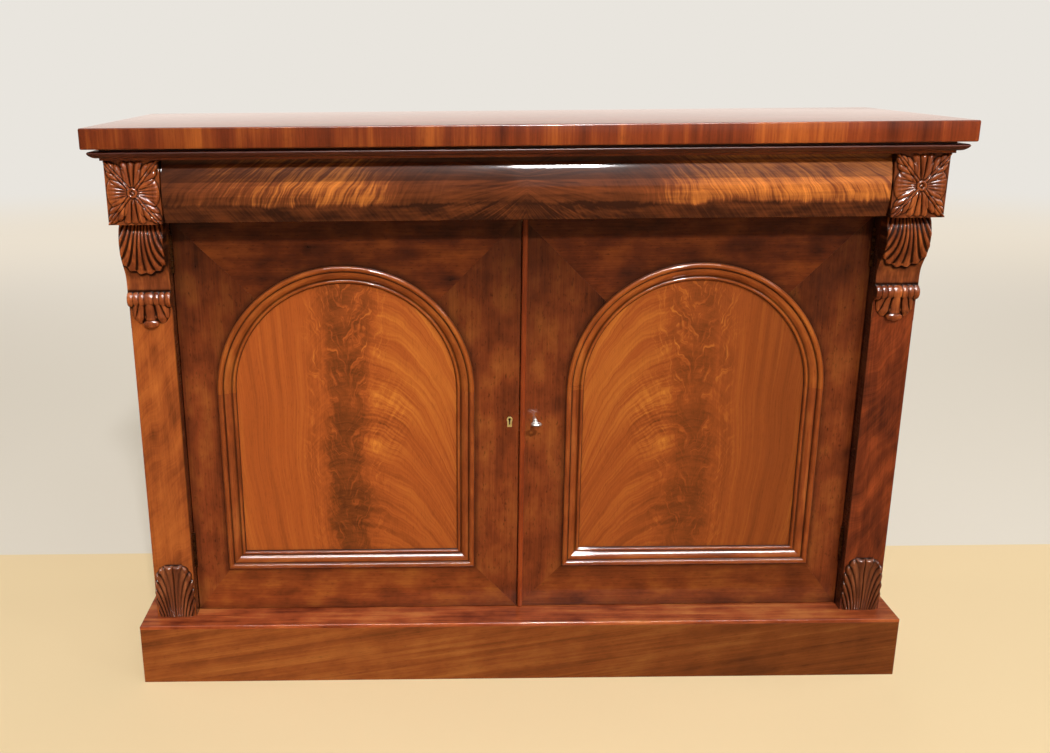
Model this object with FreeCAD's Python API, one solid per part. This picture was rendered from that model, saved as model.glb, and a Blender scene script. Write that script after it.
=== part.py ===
import FreeCAD, Part
import math
import os

# Two-door mahogany chiffonier with a concealed frieze drawer.
# Frame: +X to the viewer's right, the front faces -Y, +Z up, millimetres.
# Origin: centre of the outer box at floor level.  "left" is the viewer's left (-X).

V = FreeCAD.Vector

# ---------------------------------------------------------------- driving dimensions
TOP_WIDTH = 1370.0            # slab, end to end
TOP_DEPTH = 452.0             # slab, front to back
HEIGHT = 977.0                # floor to polished surface
TOP_THICK = 32.0
TOP_ROUND = 2.5               # softened arris of the slab

PLINTH_WIDTH = 1350.0
PLINTH_HEIGHT = 112.0
PLINTH_SETBACK = 38.0         # plinth face behind the slab's front edge
PLINTH_BOARD = 22.0
LEDGE_THICK = 6.0             # strips that face the top of the plinth

PILASTER_SETBACK = 76.0
PILASTER_INNER = 581.0        # inner side, from the centre line
PILASTER_OUTER = 652.0        # outer side, flush with the carcass side
DOOR_SETBACK = 100.0
DOOR_THICK = 22.0
DOOR_TOP = 822.0
DOOR_GAP = 1.5                # all round the doors
FRIEZE_BOTTOM = 825.5         # underside of the carved blocks
FRIEZE_TOP = 926.5

BLOCK_SETBACK = 26.0
BLOCK_INNER = 575.5
BLOCK_OUTER = 660.5
BLOCK_CARVING = 8.0           # height of the flower above the ground of the block

CARCASS_BACK_GAP = 10.0       # slab overhang behind the back boards
SIDE_THICK = 20.0
BACK_THICK = 10.0
BACK_BOARDS = 6
BOTTOM_THICK = 18.0
SHELF_TOP = 470.0
SHELF_THICK = 18.0
DIVIDER_THICK = 18.0
BEARER = 20.0

FRAME_SETBACK = 24.0          # frame under the slab, behind the slab's front edge
FRAME_RAIL = 60.0
FILLET_TALL = 4.0             # plain step under the thumb moulding
THUMB_TALL = 10.5
THUMB_PROUD = 15.0

ARCH_RADIUS = 220.75          # outer edge of the door moulding
ARCH_TOP = 745.0
ARCH_CENTRE_X = 299.75        # each door, from the centre line
MOULDING_BOTTOM = 194.5
MOULDING_LAP = 12.0           # moulding lying on the face of the door frame
PANEL_RECESS = 8.0            # panel face behind the door face
PANEL_THICK = 8.0
PANEL_TONGUE = 10.0           # panel hidden behind the frame
ASTRAGAL_WIDE = 9.5
ASTRAGAL_PROUD = 5.5

LEFT_DOOR_EDGE = -2.0         # meeting edge of each door, on the X axis
RIGHT_DOOR_EDGE = -0.5

HINGE_LENGTH = 64.0
HINGE_LEAF = 1.5
HINGE_LEAF_DEEP = 19.0
HINGE_RADIUS = 3.2            # knuckle
HINGE_PIN_RADIUS = 1.5
HINGE_RUNNING = 0.05          # radial clearance of a knuckle that turns on its pin
HINGE_KNUCKLES = 3
HINGE_HEIGHTS = (200.0, 736.0)

LOCK_Z = 474.0                # key pin
LOCK_X = 25.0
LOCK_DEEP = 12.0              # case, front to back
LOCK_WALL = 1.5
LOCK_END = 47.0               # far end of the case, on the X axis
LOCK_HALF = 22.0              # half the height of the case
SELVEDGE_HALF = 28.0
SELVEDGE_THICK = 2.5
LOCK_BOLT_RISE = 6.5          # underside of the lock bolt above the key pin
LOCK_BOLT_TALL = 12.0
LOCK_BOLT_END = 41.0          # tail of the lock bolt, on the X axis
LOCK_BOLT_INSET = 2.6         # lock bolt behind each face of the case
DRILL_PIN_RADIUS = 1.5
DRILL_PIN_LONG = 17.0
KEYHOLE_RADIUS = 3.5
KEYHOLE_SLOT = 1.6            # half the width of the slot
KEYHOLE_LOW = 10.5            # slot's lower end under the hole's centre
KEY_BARREL = 2.9
KEY_BIT_REACH = 9.0
KEY_BIT_TALL = 5.5
KEY_BOW_PROUD = 33.5          # centre of the bow in front of the door face
STRIKE_THICK = 1.5
STRIKE_BELOW = 14.0           # strike plate below and above the key pin's height
STRIKE_ABOVE = 26.0

ESCUTCHEON_X = -18.0
ESCUTCHEON_DROP = 2.0         # its hole's centre below the key pin's height
ESCUTCHEON_RIM = 2.4
ESCUTCHEON_DEEP = 6.0
ESCUTCHEON_RADIUS = 2.6       # hole
ESCUTCHEON_SLOT = 1.4         # half the width of the slot
ESCUTCHEON_LOW = 11.2

BOLT_TRAVEL = 9.0
BOLT_ROD = 2.6                # half the side of the square bolt
BOLT_X = -17.0
BOLT_DEPTH = 5.3              # centre of the bolt in front of the door's back
BOLT_LENGTH = 90.0
BOLT_ROOM = 0.8               # channel wider than the bolt, each way
BOLT_PLATE_HALF = 7.0
BOLT_PLATE_START = 10.0       # plate's outer end from the door's edge
BOLT_PLATE_LONG = 98.0
BOLT_PLATE_THICK = 2.0
BOLT_KNOB = 69.0              # knob from the door's edge, bolt drawn back
BOLT_STEM = 1.8               # half the side of the square stem
BOLT_BUTTON_RADIUS = 4.5
BOLT_BUTTON_THICK = 2.4

DRAWER_CLEAR = 1.5
DRAWER_FRONT_THICK = 20.0
DRAWER_FRONT_BACK = -140.0    # y of the inner face of the front
DRAWER_SIDE_THICK = 10.0
DRAWER_SIDE_OUTER = 570.0
DRAWER_SIDE_BOTTOM = 842.0
DRAWER_SIDE_TOP = 906.0
DRAWER_BACK_Y = 190.0
DRAWER_BOTTOM_THICK = 6.0
DRAWER_LAP = 14.0             # length of the lapped dovetails
TAIL_COUNT = 3
MUNTIN_HALF = 22.0            # centre muntin of the drawer bottom
MUNTIN_TONGUE = 8.0
CUSHION_RIM = 20.0            # cushion's edges in front of the drawer front
CUSHION_BULGE = 10.0
CUSHION_STEP = 7.0            # plain step along the top of the cushion

CORBEL_ROLL_Z = 697.0
CORBEL_ROLL_RADIUS = 13.0
CORBEL_REEDS = 7
CORBEL_LOW = 648.0            # tip of the middle lobe
FOOT_LEAF_TOP = 214.0
GLUE_BLOCK = 38.0
GLUE_BLOCK_LONG = 80.0
GLUE_BLOCK_X = 220.0          # middle blocks, from the centre line
LEDGE_ROUND = 1.5
PILASTER_ROUND = 1.2
SHELF_ROUND = 4.0
SHELF_SETBACK = 16.0          # shelf's front edge behind the doors

# ---------------------------------------------------------------- planes worked out
FRONT = -TOP_DEPTH / 2
BACK = TOP_DEPTH / 2
PLINTH_FACE = FRONT + PLINTH_SETBACK
PILASTER_FACE = FRONT + PILASTER_SETBACK
DOOR_FACE = FRONT + DOOR_SETBACK
DOOR_BACK = DOOR_FACE + DOOR_THICK
BLOCK_FACE = FRONT + BLOCK_SETBACK
FRAME_FACE = FRONT + FRAME_SETBACK
CARCASS_BACK = BACK - CARCASS_BACK_GAP
SLAB_BOTTOM = HEIGHT - TOP_THICK
SIDE_INNER = PILASTER_OUTER - SIDE_THICK
DIVIDER_BOTTOM = DOOR_TOP + DOOR_GAP
DIVIDER_TOP = DIVIDER_BOTTOM + DIVIDER_THICK
DOOR_BOTTOM = PLINTH_HEIGHT + DOOR_GAP
DOOR_OUTER = PILASTER_INNER - 1.0
SPRING_Z = ARCH_TOP - ARCH_RADIUS
PANEL_FACE = DOOR_FACE + PANEL_RECESS
OPENING_RADIUS = ARCH_RADIUS - MOULDING_LAP
OPENING_BOTTOM = MOULDING_BOTTOM + MOULDING_LAP
HINGE_X = PILASTER_INNER - 0.5
HINGE_Y = DOOR_FACE - HINGE_RADIUS + 0.2
FRAME_OUTER = TOP_WIDTH / 2 - 22.0
LOCK_BOLT_LOW = LOCK_Z + LOCK_BOLT_RISE
LOCK_BOLT_HIGH = LOCK_BOLT_LOW + LOCK_BOLT_TALL
BOLT_Y = DOOR_BACK - BOLT_DEPTH
ESCUTCHEON_Z = LOCK_Z - ESCUTCHEON_DROP
BARELY = 0.1                  # tolerance of the tests that pick an edge

parts = {}


# ---------------------------------------------------------------- small helpers
def box(x0, x1, y0, y1, z0, z1):
    return Part.makeBox(x1 - x0, y1 - y0, z1 - z0, V(x0, y0, z0))


def prism(points, direction):
    """Closed outline of 3D points, swept along a vector."""
    return Part.Face(Part.makePolygon(list(points) + [points[0]])).extrude(direction)


def outline_face(start, steps):
    """Face from a start point and steps: (end,) is a line, (middle, end) is an arc."""
    edges = []
    here = start
    for step in steps:
        if len(step) == 1:
            edges.append(Part.LineSegment(here, step[0]).toShape())
        else:
            edges.append(Part.Arc(here, step[0], step[1]).toShape())
        here = step[-1]
    if here.distanceToPoint(start) > 1e-6:
        edges.append(Part.LineSegment(here, start).toShape())
    return Part.Face(Part.Wire(edges))


def rod(centre, axis, radius, length):
    return Part.makeCylinder(radius, length, centre, axis)


def mirrored(shape):
    """The same piece for the other side of the centre line."""
    return shape.mirror(V(0, 0, 0), V(1, 0, 0))


def fused(shapes):
    result = shapes[0]
    for shape in shapes[1:]:
        result = result.fuse(shape)
    return result.removeSplitter()


def cut(shape, tools):
    for tool in tools:
        shape = shape.cut(tool)
    return shape


def keep(name, *solids):
    """Store one node: a single solid, or a group of separate ones."""
    parts[name] = solids[0] if len(solids) == 1 else Part.makeCompound(list(solids))


def softened(shape, radius, chooses):
    """Round the straight edges that the test picks by their middle and direction."""
    edges = []
    for edge in shape.Edges:
        middle = edge.CenterOfMass
        run = (edge.lastVertex().Point - edge.firstVertex().Point)
        if run.Length > 1e-6 and chooses(middle, run.normalize()):
            edges.append(edge)
    return shape.makeFillet(radius, edges)


# ---------------------------------------------------------------- plinth
def build_plinth(bolt_hole):
    half = PLINTH_WIDTH / 2
    under = PLINTH_HEIGHT - LEDGE_THICK
    back = CARCASS_BACK
    inner_y = PLINTH_FACE + PLINTH_BOARD
    inner_x = half - PLINTH_BOARD
    up = V(0, 0, under)

    front = prism([V(-half, PLINTH_FACE, 0), V(half, PLINTH_FACE, 0),
                   V(inner_x, inner_y, 0), V(-inner_x, inner_y, 0)], up)
    keep("plinth_front", front)

    side = prism([V(half, PLINTH_FACE, 0), V(half, back, 0),
                  V(inner_x, back, 0), V(inner_x, inner_y, 0)], up)
    keep("plinth_returns", side, mirrored(side))
    keep("plinth_back", box(-inner_x, inner_x, back - PLINTH_BOARD, back, 0, under))

    blocks = []
    for side_sign in (-1, 1):
        x = side_sign * inner_x
        dx = -side_sign * GLUE_BLOCK
        for y, dy in ((inner_y, GLUE_BLOCK), (back - PLINTH_BOARD, -GLUE_BLOCK)):
            blocks.append(prism([V(x, y, 4), V(x + dx, y, 4), V(x, y + dy, 4)],
                                V(0, 0, under - 4)))
    for x in (-GLUE_BLOCK_X, GLUE_BLOCK_X):
        blocks.append(prism([V(x, inner_y, under), V(x, inner_y + GLUE_BLOCK, under),
                             V(x, inner_y, under - GLUE_BLOCK)], V(GLUE_BLOCK_LONG, 0, 0)))
    keep("plinth_glue_blocks", *blocks)

    # Ledge: three strips, mitred at the front corners, that face the plinth's top
    # between its outer edge and the foot of the carcass.
    z0, rise = under, V(0, 0, LEDGE_THICK)
    strip_back = DOOR_BACK + 1.0
    strip_in = SIDE_INNER
    front_strip = prism([V(-half, PLINTH_FACE, z0), V(half, PLINTH_FACE, z0),
                         V(strip_in, strip_back, z0), V(-strip_in, strip_back, z0)], rise)
    side_strip = prism([V(half, PLINTH_FACE, z0), V(half, back, z0),
                        V(strip_in, back, z0), V(strip_in, strip_back, z0)], rise)
    top = PLINTH_HEIGHT - BARELY
    front_strip = softened(front_strip, LEDGE_ROUND,
                           lambda m, d: m.z > top and m.y < PLINTH_FACE + BARELY)
    side_strip = softened(side_strip, LEDGE_ROUND, lambda m, d: m.z > top and m.x > half - BARELY)
    front_strip = front_strip.cut(bolt_hole)
    keep("plinth_ledge", front_strip, side_strip, mirrored(side_strip))


# ---------------------------------------------------------------- carcass
def carcass_side():
    side = box(SIDE_INNER, PILASTER_OUTER, DOOR_BACK, CARCASS_BACK, PLINTH_HEIGHT, FRIEZE_TOP)
    rebate = box(SIDE_INNER, SIDE_INNER + 10, CARCASS_BACK - BACK_THICK, CARCASS_BACK,
                 PLINTH_HEIGHT, FRIEZE_TOP)
    return side.cut(rebate)


def build_carcass(bolt_hole):
    right = carcass_side()
    keep("carcass_right", right)
    keep("carcass_left", mirrored(right))

    front_edge = DOOR_BACK + 1.0
    inside_back = CARCASS_BACK - BACK_THICK
    keep("carcass_bottom", box(-SIDE_INNER, SIDE_INNER, front_edge, inside_back,
                               PLINTH_HEIGHT - LEDGE_THICK, PLINTH_HEIGHT + BOTTOM_THICK - 2))

    # Vertical back boards with a small bead-like chamfer on each long edge.
    reach = SIDE_INNER + 10
    width = 2 * reach / BACK_BOARDS
    boards = []
    for index in range(BACK_BOARDS):
        x0 = -reach + index * width
        x1 = x0 + width
        edge = 2.5
        boards.append(prism([V(x0, inside_back, PLINTH_HEIGHT), V(x1, inside_back, PLINTH_HEIGHT),
                             V(x1, CARCASS_BACK - edge, PLINTH_HEIGHT),
                             V(x1 - edge, CARCASS_BACK, PLINTH_HEIGHT),
                             V(x0 + edge, CARCASS_BACK, PLINTH_HEIGHT),
                             V(x0, CARCASS_BACK - edge, PLINTH_HEIGHT)],
                            V(0, 0, FRIEZE_TOP - PLINTH_HEIGHT)))
    keep("back_boards", *boards)

    # Front stiles carry the pilasters and the hinges.
    keep("front_stiles", *stiles())

    divider_front = DRAWER_FRONT_BACK + 2.0
    divider_back = DOOR_BACK + 44.0
    plan = [V(-BLOCK_INNER, divider_front, 0), V(BLOCK_INNER, divider_front, 0),
            V(BLOCK_INNER, DOOR_FACE, 0), V(PILASTER_INNER, DOOR_FACE, 0),
            V(PILASTER_INNER, DOOR_BACK, 0), V(SIDE_INNER, DOOR_BACK, 0),
            V(SIDE_INNER, divider_back, 0), V(-SIDE_INNER, divider_back, 0),
            V(-SIDE_INNER, DOOR_BACK, 0), V(-PILASTER_INNER, DOOR_BACK, 0),
            V(-PILASTER_INNER, DOOR_FACE, 0), V(-BLOCK_INNER, DOOR_FACE, 0)]
    divider = prism([V(p.x, p.y, DIVIDER_BOTTOM) for p in plan], V(0, 0, DIVIDER_THICK))
    keep("drawer_divider", divider.cut(bolt_hole))

    stop_back = DOOR_BACK + 15.0
    keep("door_stop", box(-PILASTER_INNER, PILASTER_INNER, front_edge, stop_back,
                          DIVIDER_BOTTOM - 15, DIVIDER_BOTTOM))

    # Runners under the drawer sides, guides beside them and kickers above them.
    runner_in = DRAWER_SIDE_OUTER - 12
    guide_in = DRAWER_SIDE_OUTER + DRAWER_CLEAR
    strips = []
    for strip in (box(runner_in, SIDE_INNER, divider_back, inside_back,
                      DIVIDER_BOTTOM, DIVIDER_TOP),
                  box(guide_in, SIDE_INNER, DOOR_BACK, inside_back, DIVIDER_TOP, DIVIDER_TOP + 22),
                  box(runner_in, SIDE_INNER, DOOR_BACK, inside_back,
                      DRAWER_SIDE_TOP + DRAWER_CLEAR, FRIEZE_TOP)):
        strips += [strip, mirrored(strip)]
    keep("drawer_runners", *strips)

    shelf_front = DOOR_BACK + SHELF_SETBACK
    shelf_low = SHELF_TOP - SHELF_THICK
    keep("shelf", softened(box(-SIDE_INNER, SIDE_INNER, shelf_front, inside_back,
                               shelf_low, SHELF_TOP), SHELF_ROUND,
                           lambda m, d: m.y < shelf_front + BARELY and abs(d.x) > 0.9))
    bearer_front = shelf_front + 8.0
    bearer_in = SIDE_INNER - BEARER
    bearer = prism([V(SIDE_INNER, bearer_front, shelf_low),
                    V(bearer_in, bearer_front, shelf_low),
                    V(bearer_in, bearer_front, shelf_low - 14),
                    V(bearer_in + 6, bearer_front, shelf_low - BEARER),
                    V(SIDE_INNER, bearer_front, shelf_low - BEARER)],
                   V(0, inside_back - bearer_front, 0))
    keep("shelf_bearers", bearer, mirrored(bearer))


def stiles():
    stile = box(PILASTER_INNER, PILASTER_OUTER, DOOR_FACE, DOOR_BACK, PLINTH_HEIGHT, FRIEZE_TOP)
    cuts = []
    for z in HINGE_HEIGHTS:
        cuts += [frame_leaf_pocket(z), knuckle_recess(z)]
    stile = cut(stile, cuts)
    return stile, mirrored(stile)


# ---------------------------------------------------------------- top
def build_top():
    half = TOP_WIDTH / 2
    slab = box(-half, half, FRONT, BACK, SLAB_BOTTOM, HEIGHT)
    slab = softened(slab, TOP_ROUND,
                    lambda m, d: abs(d.z) < 0.1 and (abs(m.x) > half - BARELY
                                                     or m.y < FRONT + BARELY))
    keep("top_slab", slab)

    # Frame under the slab: front, back and two sides, with a plain step below.
    z0, rise = FRIEZE_TOP, V(0, 0, SLAB_BOTTOM - FRIEZE_TOP)
    rail_in_y = FRAME_FACE + FRAME_RAIL
    rail_in_x = FRAME_OUTER - FRAME_RAIL
    front = prism([V(-FRAME_OUTER, FRAME_FACE, z0), V(FRAME_OUTER, FRAME_FACE, z0),
                   V(rail_in_x, rail_in_y, z0), V(-rail_in_x, rail_in_y, z0)], rise)
    side = prism([V(FRAME_OUTER, FRAME_FACE, z0), V(FRAME_OUTER, CARCASS_BACK, z0),
                  V(rail_in_x, CARCASS_BACK, z0), V(rail_in_x, rail_in_y, z0)], rise)
    back = box(-rail_in_x, rail_in_x, CARCASS_BACK - FRAME_RAIL, CARCASS_BACK, z0, SLAB_BOTTOM)
    keep("top_frame", front, side, mirrored(side), back)

    # Thumb moulding round three sides: flat on top, nosed, curving back below.
    low = FRIEZE_TOP + FILLET_TALL
    high = low + THUMB_TALL
    nose = high - 3.0

    def section(place):
        """place(out, z) puts a profile point in space."""
        return outline_face(place(0, low), [
            (place(2.5, low),),
            (place(10.5, low + 2.6), place(THUMB_PROUD, nose)),
            (place(THUMB_PROUD - 0.9, nose + 2.1), place(THUMB_PROUD - 3.0, high)),
            (place(0, high),)])

    long_front = section(lambda out, z: V(-half, FRAME_FACE - out, z)).extrude(V(2 * half, 0, 0))
    long_side = section(lambda out, z: V(FRAME_OUTER + out, FRONT, z)).extrude(
        V(0, CARCASS_BACK - FRONT, 0))
    corner = V(FRAME_OUTER, FRAME_FACE, low)
    away = 200.0
    # Everything in front of the two mitre planes belongs to the front length.
    wedge = prism([corner, V(corner.x + away, corner.y - away, low),
                   V(-corner.x - away, corner.y - away, low), V(-corner.x, corner.y, low)],
                  V(0, 0, THUMB_TALL))
    keep("top_moulding", long_front.common(wedge), long_side.cut(wedge),
         mirrored(long_side.cut(wedge)))


# ---------------------------------------------------------------- pilasters and carving
def build_pilasters():
    board = box(PILASTER_INNER, PILASTER_OUTER, PILASTER_FACE, DOOR_FACE,
                PLINTH_HEIGHT, FRIEZE_BOTTOM)
    board = softened(board, PILASTER_ROUND,
                     lambda m, d: m.y < PILASTER_FACE + BARELY and abs(d.z) > 0.9)
    board = cut(board, [knuckle_recess(z) for z in HINGE_HEIGHTS])
    for name, shape in (("pilaster_right", board), ("pilaster_left", mirrored(board))):
        keep(name, shape)
    for name, maker in (("corbel", corbel), ("foot_leaf", foot_leaf), ("patera_block", patera_block)):
        shape = maker()
        keep(name + "_right", shape)
        keep(name + "_left", mirrored(shape))


def corbel():
    """Console under the block: an S-curve above, a reeded roll and hanging lobes below."""
    x0, width = PILASTER_INNER, PILASTER_OUTER - PILASTER_INNER
    face = PILASTER_FACE
    roll_z, roll_y, roll_radius = CORBEL_ROLL_Z, face - 1.0, CORBEL_ROLL_RADIUS
    neck_y = face - 3.0

    def at(y, z):
        return V(x0, y, z)

    scroll = outline_face(at(face, FRIEZE_BOTTOM), [
        (at(face - 18, FRIEZE_BOTTOM),),
        (at(face - 28, FRIEZE_BOTTOM - 14), at(face - 31, FRIEZE_BOTTOM - 31)),
        (at(face - 27, FRIEZE_BOTTOM - 53), at(face - 14, FRIEZE_BOTTOM - 74)),
        (at(face - 6, FRIEZE_BOTTOM - 88), at(neck_y, FRIEZE_BOTTOM - 106)),
        (at(neck_y, roll_z),),
        (at(face, roll_z),)]).extrude(V(width, 0, 0))

    # The roll is a faceted half round with raised reeds across it.
    pitch = width / CORBEL_REEDS
    sides = 6

    def half_round(radius):
        turns = [math.pi * (step / sides - 0.5) for step in range(sides + 1)]
        return [at(roll_y - radius * math.cos(t), roll_z + radius * math.sin(t)) for t in turns]

    def slice_of_roll(radius, start, long):
        flat_back = [at(face, roll_z + radius), at(face, roll_z - radius)]
        piece = prism(half_round(radius) + flat_back, V(long, 0, 0))
        piece.translate(V(start, 0, 0))
        return piece

    roll = slice_of_roll(roll_radius - 1.6, 0, width)
    raised = [slice_of_roll(roll_radius, (index + 0.16) * pitch, 0.68 * pitch)
              for index in range(CORBEL_REEDS)]

    # Lobes that hang from the roll: two at the sides and a drop between them.
    centre = x0 + width / 2
    lobes = []
    for offset, low, half, proud in ((-20.0, 668.0, 15.0, 9.0), (20.0, 668.0, 15.0, 9.0),
                                     (0.0, CORBEL_LOW, 17.0, 10.0)):
        lobes.append(leaf_lobe(centre + offset, low, roll_z, half, proud, face))
    return fused([scroll, roll] + raised + lobes)


def leaf_lobe(x, low, high, half, proud, face):
    """A tongue with a round lower end, lying on a face and swelling forwards."""
    side = half * 0.9
    tongue = outline_face(V(x - side, face, high), [
        (V(x - half, face, low + half),),
        (V(x, face, low), V(x + half, face, low + half)),
        (V(x + side, face, high),)]).extrude(V(0, -proud, 0))
    swell = half * 1.9
    barrel = rod(V(x, face + swell - proud, low - 10), V(0, 0, 1), swell, high - low + 20)
    return tongue.common(barrel)


def foot_leaf():
    """Upright leaf at the foot of the pilaster: round top, hollow sides, swelling front."""
    x0, x1 = PILASTER_INNER + 0.5, PILASTER_OUTER - 0.5
    centre = (x0 + x1) / 2
    z0, z1 = PLINTH_HEIGHT, FOOT_LEAF_TOP
    face = PILASTER_FACE
    shoulder = z1 - 26.0
    leaf = outline_face(V(x0 + 3, face, z0), [
        (V(x0, face, z0 + 38), V(x0 + 4, face, shoulder)),
        (V(centre, face, z1), V(x1 - 4, face, shoulder)),
        (V(x1, face, z0 + 38), V(x1 - 3, face, z0)),
        (V(x0 + 3, face, z0),)]).extrude(V(0, -12, 0))
    # Seen from the side the leaf curls forward at its tip and swells at mid height.
    side_view = [(0, z0), (5, z0), (8.5, z0 + 40), (6.5, z0 + 70), (12, z1 - 14), (10, z1 - 4),
                 (4, z1), (0, z1)]
    profile = prism([V(x0, face - proud, z) for proud, z in side_view], V(x1 - x0, 0, 0))
    # In plan the front is three flats, so that the sides fall away from the middle.
    plan = [V(x0, face, z0), V(x0, face - 4, z0), V(centre - 13, face - 12, z0),
            V(centre + 13, face - 12, z0), V(x1, face - 4, z0), V(x1, face, z0)]
    return leaf.common(profile).common(prism(plan, V(0, 0, z1 - z0)))


def patera_block():
    """Square block with an eight-petalled flower: four leaves to the corners, four petals."""
    ground = BLOCK_FACE + BLOCK_CARVING
    cx = (BLOCK_INNER + BLOCK_OUTER) / 2
    cz = (FRIEZE_BOTTOM + FRIEZE_TOP) / 2
    half_x = (BLOCK_OUTER - BLOCK_INNER) / 2
    half_z = (FRIEZE_TOP - FRIEZE_BOTTOM) / 2
    body = box(BLOCK_INNER, BLOCK_OUTER, ground, DOOR_FACE, FRIEZE_BOTTOM, FRIEZE_TOP)
    pieces = [body]
    for turn in range(8):
        angle = math.radians(45 * turn)
        diagonal = turn % 2 == 1
        dx, dz = math.sin(angle), math.cos(angle)
        reach_x, reach_z = (half_x - 1, half_z - 1)
        length = min(reach_x / max(abs(dx), 1e-9), reach_z / max(abs(dz), 1e-9))
        pieces.append(petal(V(cx, ground, cz), dx, dz, length, 9.5 if diagonal else 15.0,
                            0.55 if diagonal else 0.70, BLOCK_CARVING - (0 if diagonal else 1.5)))
    pieces.append(rod(V(cx, ground, cz), V(0, -1, 0), 7.5, BLOCK_CARVING))
    return fused(pieces)


def petal(root, dx, dz, length, half, widest, height):
    """Ridged petal: a lozenge outline with a raised midrib, standing on the block's ground."""
    side_x, side_z = dz, -dx

    def at(along, across, up):
        return V(root.x + dx * along + side_x * across, root.y - up,
                 root.z + dz * along + side_z * across)

    tip, left, right = at(length, 0, 0), at(length * widest, half, 0), at(length * widest, -half, 0)
    start = at(2.0, 0, 0)
    ridge_in, ridge_out = at(6.0, 0, height * 0.6), at(length * widest, 0, height)
    faces = [(start, left, ridge_in), (left, ridge_out, ridge_in), (left, tip, ridge_out),
             (tip, right, ridge_out), (right, ridge_in, ridge_out), (right, start, ridge_in),
             (start, right, tip, left)]
    shell = Part.makeShell([Part.Face(Part.makePolygon(list(face) + [face[0]])) for face in faces])
    solid = Part.makeSolid(shell)
    if solid.Volume < 0:
        solid.reverse()
    return solid


# ---------------------------------------------------------------- hinges (right side)
def knuckle_spans():
    """Z ranges of the knuckles from the bottom of a hinge, with a hair of clearance."""
    pitch = HINGE_LENGTH / HINGE_KNUCKLES
    for index in range(HINGE_KNUCKLES):
        yield index * pitch + 0.15, (index + 1) * pitch - 0.15, index % 2 == 0


def hinge_leaf(z, on_frame):
    """One leaf of a butt hinge with its own knuckles, at bottom height z."""
    leaf_front = HINGE_Y
    leaf_back = HINGE_Y + HINGE_LEAF_DEEP + 3
    if on_frame:
        x0, x1 = PILASTER_INNER, PILASTER_INNER + HINGE_LEAF
    else:
        x0, x1 = DOOR_OUTER - HINGE_LEAF, DOOR_OUTER
    plate = box(x0, x1, leaf_front, leaf_back, z, z + HINGE_LENGTH)
    own, other = [], []
    for low, high, frame_side in knuckle_spans():
        if frame_side == on_frame:
            own.append(knuckle(z + low, high - low))
        else:
            other.append(rod(V(HINGE_X, HINGE_Y, z + low - 0.3), V(0, 0, 1),
                             HINGE_RADIUS + 0.4, high - low + 0.6))
    leaf = fused([cut(plate, other)] + own)
    # The pin is riveted into the frame leaf, and the door leaf's knuckle turns on it.
    if on_frame:
        held = 2.0
        start = V(HINGE_X, HINGE_Y, z + HINGE_LENGTH / HINGE_KNUCKLES - held)
        long = HINGE_LENGTH / HINGE_KNUCKLES + 2 * held
        return fused([leaf, rod(start, V(0, 0, 1), HINGE_PIN_RADIUS, long)])
    bore = HINGE_PIN_RADIUS + HINGE_RUNNING
    return leaf.cut(rod(V(HINGE_X, HINGE_Y, z - 1), V(0, 0, 1), bore, HINGE_LENGTH + 2))


def knuckle(z, long):
    """Rolled eye of a leaf, in twelve flats."""
    turns = [math.radians(30 * step + 15) for step in range(12)]
    rim = [V(HINGE_X + HINGE_RADIUS * math.cos(t), HINGE_Y + HINGE_RADIUS * math.sin(t), z)
           for t in turns]
    return prism(rim, V(0, 0, long))


def knuckle_recess(z):
    """Room round the knuckles in the wood on both sides of the joint."""
    return rod(V(HINGE_X, HINGE_Y, z - 0.5), V(0, 0, 1), HINGE_RADIUS + 0.4, HINGE_LENGTH + 1)


def frame_leaf_pocket(z):
    return box(PILASTER_INNER, PILASTER_INNER + HINGE_LEAF, HINGE_Y, HINGE_Y + HINGE_LEAF_DEEP + 3,
               z, z + HINGE_LENGTH)


def door_leaf_pocket(z):
    return box(DOOR_OUTER - HINGE_LEAF, DOOR_OUTER, HINGE_Y, HINGE_Y + HINGE_LEAF_DEEP + 3,
               z, z + HINGE_LENGTH)


def build_frame_hinges():
    leaves = [hinge_leaf(z, on_frame=True) for z in HINGE_HEIGHTS]
    keep("hinge_frame_leaves", *(leaves + [mirrored(leaf) for leaf in leaves]))


# ---------------------------------------------------------------- doors (built on the right)
def arched_opening(radius, bottom, y0, y1):
    """Tall opening with a semicircular head, centred on a door's arch."""
    x = ARCH_CENTRE_X
    face = outline_face(V(x - radius, y0, bottom), [
        (V(x + radius, y0, bottom),),
        (V(x + radius, y0, SPRING_Z),),
        (V(x, y0, SPRING_Z + radius), V(x - radius, y0, SPRING_Z))])
    return face.extrude(V(0, y1 - y0, 0))


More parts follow.
